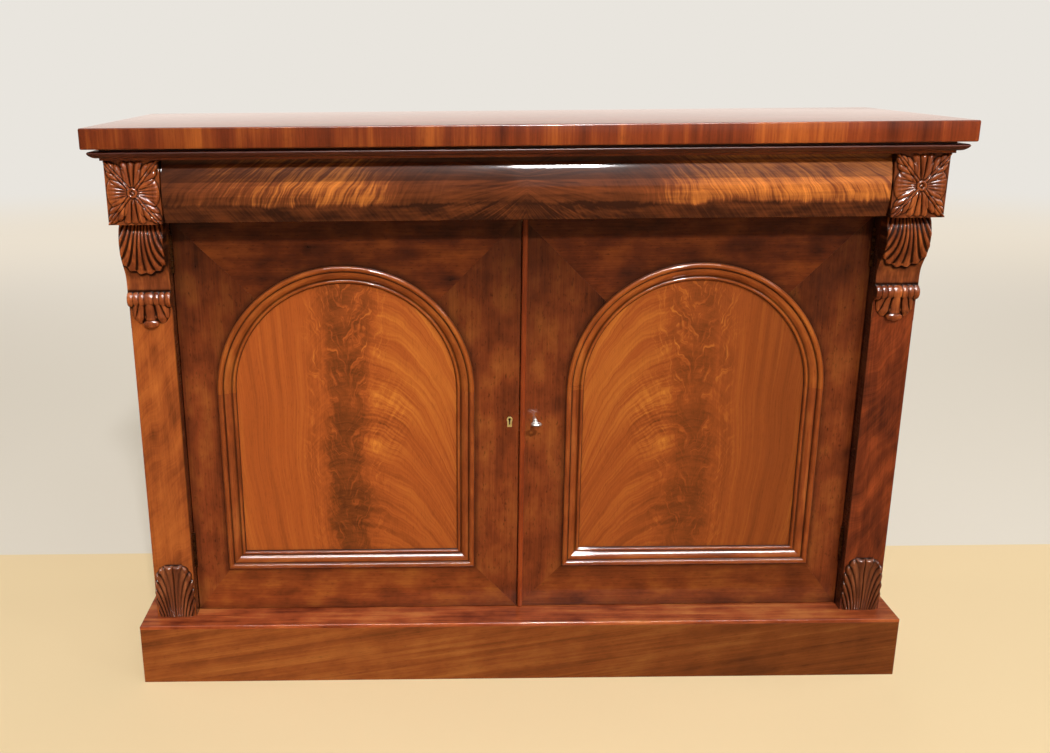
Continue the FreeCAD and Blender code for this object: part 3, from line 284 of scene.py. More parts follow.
@dataclass(frozen=True)
class PolishedWood(Finish):
    """Mahogany under French polish: shellac rubbed on in thin coats.

    The wood gives warm bands, short dark pores and flecks, and the shellac a clear, slightly
    uneven gloss over it.
    """

    grain: Grain = Grain.UPRIGHT
    dark: str = "#4A2210"
    mid: str = "#7A3B18"
    light: str = "#A65A24"
    band: tuple[float, float, float] = (260.0, 16.0, 16.0)     # broad bands of colour
    line: tuple[float, float, float] = (90.0, 2.6, 2.6)        # grain lines, coarser than the real 1 mm
    fleck: float = 0.35                                        # darkness of the flecks
    contrast: float = 1.0
    stripe: float = 0.7                                        # strength of the bands
    mottle: float = 0.6                                        # strength of the cloudy figure
    painted_side_shade: float = 0.0                                          # painted light: how much darker the right end is painted; below 0 it is painted lighter, a painted reflection
    painted_shadow: float = 0.0                                         # painted shadow: how much darker it is painted under the drawer
    haze: float = 0.06                                         # unevenness of the polish: 0 mirrors
    slope: float = 0.0                                         # how steeply the grain runs off the board
    seed: float = 0.0
    blotch: tuple[float, float, float] = (62.0, 44.0, 44.0)    # clouds of the figure
    speck: tuple[float, float, float] = (9.0, 3.4, 3.4)        # dark flecks
    pore: tuple[float, float, float] = (14.0, 0.9, 0.9)        # open pores, coarser than the real 0.2 mm
    rub: tuple[float, float, float] = (60.0, 60.0, 60.0)       # patches left by the polishing pad
    shade_and_dirt: float = 0.88                                         # darkness of the deepest hollow: painted shade and dirt
    painted_side_span: tuple[float, float] = (-520.0, 640.0)               # across, from where the painted light gradient starts to where it is full
    shaded: tuple[float, float] = (480.0, 820.0)               # from clear to the darkest painted shadow, upwards

    def figure(self, tree: bpy.types.NodeTree, place: Sequence[Field]) -> Field:
        """Light and dark of the figure.

        Args:
            tree: node tree of the material.
            place: coordinates in millimetres, along the grain first.

        Returns:
            A value round 0, darker below it.
        """
        band = cloud(tree, place, self.band, self.seed, detail=2.0, warp=0.4)
        line = cloud(tree, place, self.line, self.seed + 3.1, detail=2.0)
        mottle = cloud(tree, place, self.blotch, self.seed + 7.7, detail=3.0)
        return (band - 0.5) * self.stripe + (line - 0.5) * 0.34 + (mottle - 0.5) * self.mottle

    def hollow(self, tree: bpy.types.NodeTree) -> Field:
        """Depth of carved hollows, from 0 on flat work to 1."""
        return Field(tree, add_node(tree, "Attribute", attribute_name="hollow_shade_and_dirt").outputs["Fac"])

    def age(self, tree: bpy.types.NodeTree) -> Field:
        """Painted light by place: painted shade and dirt in hollows, a painted light gradient that darkens
        the right end, and a painted shadow under the drawer.

        Args:
            tree: node tree of the material.

        Returns:
            A factor for the colour, 1 where it stays as it is.
        """
        across, high, _ = millimetres(tree, Grain.ACROSS)
        return ((1.0 - self.hollow(tree) * self.shade_and_dirt) * (1.0 - across.rise(*self.painted_side_span) * self.painted_side_shade)
                * (1.0 - high.rise(*self.shaded) * self.painted_shadow))

    def paint(self, tree: bpy.types.NodeTree, shader: bpy.types.Node) -> None:
        """Colour from the figure, dark flecks and hollows, and a polished coat.

        Args:
            tree: node tree of the material.
            shader: the material's Principled shader.
        """
        along, side, deep = millimetres(tree, self.grain)
        place = (along, side - along * self.slope, deep)
        tone = self.figure(tree, place) * self.contrast + 0.5
        colour = add_node(tree, "ValToRGB", {0: tone}, stops=(
            (0.12, self.dark), (0.5, self.mid), (0.88, self.light)))
        spots = cloud(tree, place, self.speck, self.seed + 11.3, detail=2.0).rise(0.56, 0.80)
        pores = cloud(tree, place, self.pore, self.seed + 5.9, detail=1.0)
        shade = (1.0 - spots * self.fleck - pores.rise(0.56, 0.74) * 0.2) * self.age(tree)
        toned = add_node(tree, "VectorMath", {0: colour, "Scale": shade}, operation="SCALE")
        bump = add_node(tree, "Bump", {"Height": pores * -1.0, "Strength": 0.12, "Distance": 0.0004})
        rubbed = cloud(tree, place, self.rub, self.seed + 21.0, detail=2.0)
        wire(tree, shader, {
            "Base Color": toned, "Roughness": rubbed * 0.2 + 0.30, "Normal": bump, "IOR": SHELLAC_IOR,
            "Specular IOR Level": 0.08, "Coat Weight": 1.0 - self.hollow(tree).at_least(0.0) * 0.7,
            "Coat Roughness": self.haze, "Coat IOR": SHELLAC_IOR})


@dataclass(frozen=True)
class PilasterVeneer(PolishedWood):
    """Flat pilaster veneer: slanting bands, and an inner side darkened with painted shade."""

    inner: float = 581.0          # inner side, from the centre line

    def figure(self, tree: bpy.types.NodeTree, place: Sequence[Field]) -> Field:
        """Upright grain crossed by soft bands that climb to the right.

        Args:
            tree: node tree of the material.
            place: coordinates in millimetres, along the grain first.

        Returns:
            A value round 0, darker below it.
        """
        height, across, _ = place
        bend = cloud(tree, (height, across), (120.0, 60.0), self.seed + 9.0, detail=1.0) - 0.5
        climb = (height - across * 1.1 + bend * 90.0, across)
        slant = cloud(tree, climb, (30.0, 120.0), self.seed + 2.4, detail=3.0)
        thread = cloud(tree, climb, (3.4, 60.0), self.seed + 4.6, detail=2.0)
        return super().figure(tree, place) * 0.8 + (slant - 0.5) * 0.5 + (thread - 0.5) * 0.25

    def age(self, tree: bpy.types.NodeTree) -> Field:
        """Painted shade: darker on the inner side as well."""
        aside = millimetres(tree, Grain.ACROSS)[0].size()
        return super().age(tree) * (aside.rise(self.inner, self.inner + 2.5) * 0.72 + 0.28)


@dataclass(frozen=True)
class DoorVeneer(PolishedWood):
    """Veneer of the door frames, darkest against the moulding and in the keyholes, with painted shade and
    dust, and darker at the edges.
    """

    outer: float = 580.0          # hinge edge of each door

    def age(self, tree: bpy.types.NodeTree) -> Field:
        """Painted shade and dust round the moulding, darker along the hinge edge, the foot and the meeting
        edges, and painted shade inside what is cut in.

        Args:
            tree: node tree of the material.

        Returns:
            A factor for the colour, 1 where it stays as it is.
        """
        across, high, deep = millimetres(tree, Grain.ACROSS)
        level = (across.size() - PANEL_CENTRE).size()
        clear = (level.span((high - ARCH_SPRING).at_least(0.0)) - ARCH_RADIUS).at_least(PANEL_BOTTOM - high)
        # Painted shade and dust against the moulding.
        near = (1.0 - clear.rise(-1.0, 11.0)) * 0.42 + (1.0 - clear.rise(0.0, 52.0)) * 0.16
        rim = across.size().rise(self.outer - 24.0, self.outer) * 0.4 + (1.0 - high.rise(112.0, 132.0)) * 0.3
        # Painted shade inside what is cut in, such as keyholes and edge faces.
        inside = (deep.rise(DOOR_FACE + 0.8, DOOR_FACE + 5.0)
                  * (1.0 - deep.rise(DOOR_BACK - 5.0, DOOR_BACK - 0.8)))
        front = 1.0 - deep.rise(DOOR_FACE, DOOR_FACE + 6.0)
        # Darker towards the meeting edges.
        meeting_edge_darkening = across.size().rise(15.0, 85.0) * 0.12 + 0.88
        return super().age(tree) * (1.0 - (near + rim) * front) * (1.0 - inside * 0.75) * meeting_edge_darkening


@dataclass(frozen=True)
class FlameVeneer(PolishedWood):
    """Crotch veneer cut where a trunk forks, laid as a matched pair on the two doors.

    A brown feathered plume stands in the middle, with orange tongues that rise and lean out.
    Arcs fall from it towards the meeting edge, golden above, and the outer third is plain
    upright grain.
    """

    plume: float = 36.0           # half width of the plume
    reach: float = 340.0          # radius of the falling arcs at their top
    ground: tuple[float, float] = (-117.0, -114.0)      # depths at which plain wood takes over

    def age(self, tree: bpy.types.NodeTree) -> Field:
        """Painted shade: darker at the far right as well, on top of the painted light gradient."""
        across = millimetres(tree, Grain.ACROSS)[0]
        return super().age(tree) * (1.03 - across.rise(320.0, 480.0) * 0.17)

    def tongues(self, tree: bpy.types.NodeTree, offset: Field, height: Field) -> Field:
        """Short strokes that rise and lean away from the plume's middle, unlike on its two sides.

        Args:
            tree: node tree of the material.
            offset: distance from the plume's middle, outwards below 0.
            height: height above the floor.

        Returns:
            The strokes, bright above 0.
        """
        sides = []
        for lean, seed in ((0.40, 12.9), (-0.46, 17.3)):
            across = offset - height * lean
            along = height + offset * lean
            coarse = cloud(tree, (across, along), (8.0, 46.0), seed, detail=2.0)
            fine = cloud(tree, (across, along), (2.6, 26.0), seed + 2.0, detail=2.0)
            sides.append(coarse * 0.62 + fine * 0.38 - 0.5)
        return sides[1] + (sides[0] - sides[1]) * offset.rise(-16.0, 16.0)

    def figure(self, tree: bpy.types.NodeTree, place: Sequence[Field]) -> Field:
        """Plume, falling arcs and straight outer grain, the same on both doors in mirror.

        Args:
            tree: node tree of the material.
            place: coordinates in millimetres, along the grain first.

        Returns:
            A value round 0, darker below it.
        """
        height, sideways, deep = place
        # Place over the veneer: `offset` from the plume's wavy middle, `level` on the falling arcs.
        inward = PANEL_CENTRE - sideways.size()
        sway = cloud(tree, (height, deep), (190.0, 90.0), 2.2, detail=1.0) - 0.5
        wander = cloud(tree, (inward, height), (46.0, 60.0), 4.4, detail=2.0) - 0.5
        offset = inward + sway * 30.0
        away = offset.size()
        square = offset * offset
        level = height + square * (1.0 / self.reach) + square * square * 6e-8 + wander * 26.0
        # Broad arcs and fine lines on one side, upright grain on the other.
        arcs = cloud(tree, (level, offset), (30.0, 260.0), 6.1, detail=3.0) - 0.5
        fine = cloud(tree, (level, offset), (5.0, 90.0), 8.3, detail=3.0) - 0.5
        splay = offset + (height - 500.0) * (offset + 45.0) * -0.0007
        straight = cloud(tree, (splay, height), (17.0, 700.0), 1.7, detail=3.0) - 0.5
        thread = cloud(tree, (splay, height), (2.6, 190.0), 9.6, detail=2.0) - 0.5
        falling = offset.rise(-50.0, -20.0)
        lines = (arcs * 0.62 + fine * 0.34) * falling + (straight * 0.36 + thread * 0.24) * (1.0 - falling)
        # The plume's ragged brown body and the strokes that rise out of it.
        blots = cloud(tree, (offset, height), (34.0, 52.0), 21.4, detail=2.0) - 0.5
        strokes = self.tongues(tree, offset + blots * 60.0, height)
        edge = away + strokes * -95.0 + blots * 60.0 - height.rise(560.0, 700.0) * 12.0
        body = 1.0 - edge.rise(self.plume - 9.0, self.plume + 11.0)
        near = 1.0 - away.rise(48.0, 84.0)
        # Golden shoulder towards the meeting edge, with fine rings and hatching across it.
        glow = offset.rise(10.0, 90.0) * height.rise(340.0, 540.0)
        rings = cloud(tree, (height + square * 0.012, offset), (3.2, 40.0), 25.0, detail=1.0) - 0.5
        cross = cloud(tree, (offset - height * 0.5, level), (6.0, 60.0), 31.0, detail=2.0) - 0.5
        hatch = (fine * 1.2 + cross) * glow * (1.0 - offset.rise(80.0, 130.0)) * height.rise(600.0, 440.0)
        rich = height.rise(430.0, 690.0)
        licks = (strokes - 0.03).at_least(0.0) * near * (rich * 1.1 + 1.3)
        paler = sideways.rise(-60.0, 60.0) * 0.09
        shown = (lines * (1.15 - body * 0.7) - body * (0.25 - rich * 0.06 - paler) + licks
                 + strokes * near * 0.35 + glow * 0.10 + rings * near * 0.16 + hatch * 0.9
                 - blots * near * (0.2 + rich * 0.15))
        hidden = deep.rise(*self.ground)
        return shown * (1.0 - hidden) + (straight * 0.5 - 0.14) * hidden


@dataclass(frozen=True)
class RippleVeneer(PolishedWood):
    """Fiddleback mahogany on the cushion front, matched in mirror about its middle.

    Ripples stand in its upper half and lean towards the middle, brightest at the right, partly as a painted
    reflection, and half-way to the left; a dark seam runs under them, and thin strokes fan out from the
    middle over a quiet brown lower half.
    """

    seam: float = 853.0           # height of the dark seam
    heart: float = 893.0          # height from which the strokes fan out
    crown: float = 890.5          # above it the drawer is painted dark: a painted shadow of the slab

    def age(self, tree: bpy.types.NodeTree) -> Field:
        """Painted light: a painted shadow right under the slab, and the lit lower part painted darker than
        the shaded upper half.

        Args:
            tree: node tree of the material.

        Returns:
            A factor for the colour, 1 where it stays as it is.
        """
        high = millimetres(tree, Grain.UPRIGHT)[0]
        # Painted shade on the lit lower part, and a painted shadow under the slab.
        return (super().age(tree) * (0.82 + high.rise(self.seam + 11.0, self.seam + 18.0) * 0.22)
                * (1.0 - high.rise(self.crown - 2.0, self.crown + 1.0) * 0.5))

    def figure(self, tree: bpy.types.NodeTree, place: Sequence[Field]) -> Field:
        """Ripples above, fan in the middle and quiet brown below.

        Args:
            tree: node tree of the material.
            place: coordinates in millimetres, along the grain first.

        Returns:
            A value round 0, darker below it.
        """
        across, height, _ = place
        aside = across.size()
        wander = cloud(tree, (across, height), (90.0, 50.0), 3.3, detail=2.0) - 0.5
        rise = (height - self.seam + 6.0).at_least(0.0)
        bend = 0.010 + aside.rise(330.0, 560.0) * 0.006
        # Ripples and threads lean towards the middle as they rise.
        lean = across + rise * rise * bend * (across / (aside + 1.0)) + wander * 30.0
        wide = cloud(tree, (lean, height), (7.0, 60.0), 5.1, detail=2.0) - 0.5
        ripples = wide + cloud(tree, (lean, height), (4.2, 40.0), 8.8, detail=1.0) * 0.6 - 0.3
        threads = cloud(tree, (lean, height), (2.4, 26.0), 6.4, detail=2.0) - 0.5
        # Thin strokes that fan out from the middle, and the quiet wood below.
        fan = (height - self.heart) / (aside + 26.0)
        strokes = cloud(tree, (fan, aside), (0.045, 70.0), 9.7, detail=2.0) - 0.5
        streak = cloud(tree, (across, height), (210.0, 9.0), 7.9, detail=3.0, warp=0.8) - 0.5
        blotch = cloud(tree, (across, height), (70.0, 26.0), 15.2, detail=2.0) - 0.5
        ghost = cloud(tree, (across + height * 0.8, height), (3.6, 46.0), 18.4, detail=2.0) - 0.5
        # Where each kind of figure lies.
        edge = height + ripples * 8.0 + wander * 22.0
        upper = edge.rise(self.seam - 8.0, self.seam + 7.0)
        # Towards the right end the ripples are paler and lighter: partly the figure, partly a painted
        # reflection.
        right = across.rise(150.0, 300.0)
        blaze = across.rise(-600.0, -370.0) * (1.0 - across.rise(-270.0, -170.0)) + right
        middle = 1.0 - aside.rise(70.0, 230.0)
        seam = 1.0 - (edge - self.seam + 2.0).size().rise(0.0, 5.0)
        flame = ((ripples * (0.85 - right * 0.3) + threads * 0.5) * upper
                 * (blaze * 0.65 + 0.35) * (1.0 - middle * 0.8))
        fanned = strokes * middle * (1.0 - upper * 0.3)
        below = (blotch * 0.5 + ghost * 0.4 - 0.07) * (1.0 - upper)
        return (flame + fanned * 0.9 + streak * 0.34 + below + blotch * 0.3
                + upper * (blaze * 0.30 + right * 0.06) - seam * 0.14 - 0.20)


@dataclass(frozen=True)
class BandedEdge(PolishedWood):
    """Crossbanding: short lengths of veneer with upright grain, jointed side by side."""

    def figure(self, tree: bpy.types.NodeTree, place: Sequence[Field]) -> Field:
        """Bands of 15 to 50 mm that differ in colour, with thin lines inside them.

        Args:
            tree: node tree of the material.
            place: coordinates in millimetres, along the grain first.

        Returns:
            A value round 0, darker below it.
        """
        height, across, deep = place
        run = across + deep
        band = cloud(tree, (run, height), (26.0, 300.0), 2.9, detail=2.0) - 0.5
        broad = cloud(tree, (run, height), (150.0, 300.0), 5.2, detail=1.0) - 0.5
        line = cloud(tree, (run, height), (3.4, 120.0), 6.6, detail=2.0) - 0.5
        return band + broad * 1.1 + line * 0.4


@dataclass(frozen=True)
class BareWood(Finish):
    """Unpolished softwood or hardwood inside and behind: planed, dry and a little grey."""

    grain: Grain = Grain.UPRIGHT
    dark: str = "#96603E"
    light: str = "#D6A476"
    seed: float = 0.0

    def paint(self, tree: bpy.types.NodeTree, shader: bpy.types.Node) -> None:
        """Growth rings as long lines, dull and without a coat.

        Args:
            tree: node tree of the material.
            shader: the material's Principled shader.
        """
        place = millimetres(tree, self.grain)
        rings = cloud(tree, place, (420.0, 7.0, 7.0), self.seed, detail=3.0, warp=0.5)
        stain = cloud(tree, place, (120.0, 70.0, 70.0), self.seed + 4.0, detail=2.0)
        tone = (rings - 0.5) * 1.2 + (stain - 0.5) * 0.7 + 0.5
        colour = add_node(tree, "ValToRGB", {0: tone}, stops=((0.15, self.dark), (0.85, self.light)))
        bump = add_node(tree, "Bump", {"Height": rings, "Strength": 0.2, "Distance": 0.0006})
        wire(tree, shader, {"Base Color": colour, "Normal": bump, "Roughness": stain * 0.2 + 0.55})


@dataclass(frozen=True)
class OldMetal(Finish):
    """Cast brass or filed steel, handled for years: tarnished in clouds, bright between them."""

    bright: str = "#D8B454"
    dull: str = "#8A6A2C"
    smooth: float = 0.24

    def paint(self, tree: bpy.types.NodeTree, shader: bpy.types.Node) -> None:
        """Tarnish in clouds of a few millimetres, with fine scratches in the gloss.

        Args:
            tree: node tree of the material.
            shader: the material's Principled shader.
        """
        place = millimetres(tree, Grain.UPRIGHT)
        tarnish = cloud(tree, place, (6.0, 5.0, 5.0), 1.0, detail=3.0)
        scratch = cloud(tree, place, (9.0, 0.5, 0.5), 2.0, detail=1.0)
        colour = add_node(tree, "ValToRGB", {0: tarnish}, stops=((0.35, self.dull), (0.62, self.bright)))
        bump = add_node(tree, "Bump", {"Height": scratch, "Strength": 0.15, "Distance": 0.0002})
        wire(tree, shader, {"Base Color": colour, "Normal": bump, "Metallic": 1.0,
                            "Roughness": tarnish * -0.25 + self.smooth + 0.16})


# Where these finishes darken the right end, that is painted shade; where they lighten it, a painted
# reflection. Where they darken upwards under the drawer, that is a painted shadow.
TOP_VENEER = PolishedWood("mahogany_veneer_top", Grain.ACROSS, "#5A2412", "#8A3E1C", "#A65628",
                          band=(500.0, 26.0, 26.0), fleck=0.12, haze=0.10, seed=1.0)
# Painted reflection: the crossbanding's right end is painted lighter.
EDGE_BANDING = BandedEdge("mahogany_crossbanding", Grain.UPRIGHT, "#421709", "#6E2D12", "#A05420",
                          fleck=0.2, haze=0.16, painted_side_shade=-0.40)
FRAME_UPRIGHT = DoorVeneer("mahogany_veneer_stiles", Grain.UPRIGHT, "#451B0B", "#7E3818", "#A05824",
                           fleck=0.55, painted_side_shade=0.14, stripe=0.35, mottle=1.1, painted_shadow=0.70, haze=0.12, seed=2.0)
FRAME_BELOW = DoorVeneer("mahogany_veneer_lower_rails", Grain.ACROSS, "#461C0C", "#863E19", "#AA6025",
                         band=(120.0, 22.0, 22.0), fleck=0.3, painted_side_shade=0.36, stripe=0.45, mottle=1.0, seed=3.0)
# Painted shadow: the upper rails' darker colours and their darkening upwards stand for the drawer's shadow.
FRAME_ABOVE = DoorVeneer("mahogany_veneer_upper_rails", Grain.ACROSS, "#3E160A", "#7A3415", "#A8521F",
                         band=(120.0, 22.0, 22.0), fleck=0.55, stripe=0.5, mottle=1.3, painted_shadow=0.66,
                         seed=3.5)
FLAME = FlameVeneer("mahogany_flame_veneer", Grain.UPRIGHT, "#4E260E", "#9E4D1E", "#CC7A2E",
                    fleck=0.10, painted_side_shade=0.30)
# Painted reflection: the cushion's right end is painted lighter.
RIPPLE = RippleVeneer("mahogany_ripple_veneer", Grain.ACROSS, "#35170B", "#733A1C", "#C87632",
                      fleck=0.1, painted_side_shade=-0.25)
PILASTER = PilasterVeneer("mahogany_veneer_left_pilaster", Grain.UPRIGHT, "#56260F", "#944A1F", "#B4642B",
                          band=(130.0, 20.0, 20.0), fleck=0.14, contrast=1.2, seed=5.0)
RED_PILASTER = PilasterVeneer("mahogany_veneer_right_pilaster", Grain.UPRIGHT, "#301109", "#642912",
                              "#92421D", band=(130.0, 20.0, 20.0), fleck=0.2, contrast=1.3, seed=5.5)
CARVED = PolishedWood("carved_mahogany", Grain.UPRIGHT, "#481B0B", "#793B1C", "#B0602E",
                      band=(60.0, 14.0, 14.0), fleck=0.1, contrast=1.2, painted_side_shade=0.15, haze=0.12, seed=6.0)
DARK_CARVED = PolishedWood("dark_carved_mahogany", Grain.UPRIGHT, "#3C180B", "#69361E", "#995A36",
                           fleck=0.1, contrast=1.1, painted_side_shade=0.24, haze=0.08, seed=6.4)
MOULDED = PolishedWood("moulded_mahogany", Grain.RUN, "#5A260F", "#90471B", "#B4692C",
                       band=(90.0, 12.0, 12.0), fleck=0.2, seed=7.0)
STRAIGHT_MOULDED = PolishedWood("moulded_mahogany_straight", Grain.RUN, "#52230E", "#89411B", "#AC632D",
                                band=(90.0, 12.0, 12.0), fleck=0.2, seed=7.4)
DARK_MOULDED = PolishedWood("dark_moulded_mahogany", Grain.RUN, "#260F09", "#4A1D10", "#6C3018",
                            fleck=0.2, haze=0.35, seed=8.0)
ASTRAGAL = PolishedWood("mahogany_bead", Grain.UPRIGHT, "#5E2410", "#8A3A18", "#A85626",
                        fleck=0.1, painted_shadow=0.45, seed=9.0)
PLINTH = PolishedWood("mahogany_plinth", Grain.ACROSS, "#4E240E", "#8B481E", "#AC6A30",
                      band=(380.0, 15.0, 15.0), line=(190.0, 2.6, 2.6), fleck=0.2, painted_side_shade=0.44, mottle=0.5,
                      slope=0.15, seed=10.0)
PLINTH_RETURN = PolishedWood("mahogany_plinth_return", Grain.DEEP, "#4A2410", "#7C4019", "#9C5A26",
                             band=(170.0, 18.0, 18.0), fleck=0.35, seed=10.5)
LEDGE = PolishedWood("mahogany_ledge", Grain.ACROSS, "#64230E", "#A85028", "#CC7A40", fleck=0.2,
                     contrast=1.7, painted_side_shade=0.16, seed=11.0)
# Painted shade: a near-black finish for the front stiles and the divider, which lie in shade.
INNER_EDGE = PolishedWood("mahogany_shaded_edge", Grain.UPRIGHT, "#240D07", "#451A0C", "#5E2812", seed=12.5)
SIDE = PolishedWood("mahogany_side", Grain.UPRIGHT, "#4A200E", "#743417", "#8E4A20",
                    band=(420.0, 34.0, 34.0), fleck=0.3, seed=12.0)
PINE = BareWood("aged_pine", Grain.UPRIGHT)
PINE_ACROSS = BareWood("aged_pine_across", Grain.ACROSS, seed=3.0)
PINE_DEEP = BareWood("aged_pine_deep", Grain.DEEP, seed=6.0)
LINING = BareWood("drawer_lining", Grain.DEEP, "#83482A", "#BE7C4A", seed=9.0)
LINING_ACROSS = BareWood("drawer_lining_across", Grain.ACROSS, "#83482A", "#BE7C4A", seed=10.0)
BRASS = OldMetal("old_brass")
# Painted shade: the hinge brass is painted dark, for the shaded gaps it sits in.
HINGE_BRASS = OldMetal("shade_darkened_brass", "#6A4426", "#2E1A0E", 0.40)
THREAD_BRASS = OldMetal("rubbed_brass", "#FBE49C", "#E6C46C", 0.50)
STEEL = OldMetal("old_steel", "#F6F2EC", "#C4BEB6", 0.34)


# ---------------------------------------------------------------- bench work
def put_down() -> None:
    """Leave edit mode and select nothing."""
    if bpy.context.object and bpy.context.object.mode != "OBJECT":
        bpy.ops.object.mode_set(mode="OBJECT")
    bpy.ops.object.select_all(action="DESELECT")


def pick(*pieces: bpy.types.Object) -> None:
    """Select some pieces and nothing else.

    Args:
        pieces: what to select; the first one becomes the active one.
    """
    put_down()
    for piece in pieces:
        piece.select_set(True)
    bpy.context.view_layer.objects.active = pieces[0]


def extent(node: str) -> tuple[Vector, Vector]:
    """Lowest and highest corner of a CAD node, in millimetres."""
    low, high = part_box(node)
    return Vector(low) / MM, Vector(high) / MM


def points_of(piece: bpy.types.Object) -> np.ndarray:
    """Corners of a piece as rows of x, y and z.

    Args:
        piece: object in the scene.

    Returns:
        One row for each corner, in metres.
    """
    flat = np.empty(len(piece.data.vertices) * 3)
    piece.data.vertices.foreach_get("co", flat)
    return flat.reshape(-1, 3)


def move_points(piece: bpy.types.Object, points: np.ndarray) -> None:
    """Put every corner of a piece at its row of `points`."""
    piece.data.vertices.foreach_set("co", np.ascontiguousarray(points, dtype=float).ravel())
    piece.data.update()


def arc(start: tuple[float, float], middle: tuple[float, float], end: tuple[float, float],
        steps: int) -> list[tuple[float, float]]:
    """Points on the arc through three points, without its start.

    Args:
        start: first point.
        middle: a point on the arc.
        end: last point.
        steps: number of equal steps.

    Returns:
        The points after the start.
    """
    (ax, ay), (bx, by), (cx, cy) = start, middle, end
    double = 2 * (ax * (by - cy) + bx * (cy - ay) + cx * (ay - by))
    a2, b2, c2 = ax * ax + ay * ay, bx * bx + by * by, cx * cx + cy * cy
    ox = (a2 * (by - cy) + b2 * (cy - ay) + c2 * (ay - by)) / double
    oy = (a2 * (cx - bx) + b2 * (ax - cx) + c2 * (bx - ax)) / double
    radius = math.hypot(ax - ox, ay - oy)
    first, via, last = (math.atan2(y - oy, x - ox) for x, y in (start, middle, end))
    turn = (last - first) % math.tau
    if (via - first) % math.tau > turn:
        turn -= math.tau
    angles = [first + turn * step / steps for step in range(1, steps + 1)]
    return [(ox + radius * math.cos(angle), oy + radius * math.sin(angle)) for angle in angles]


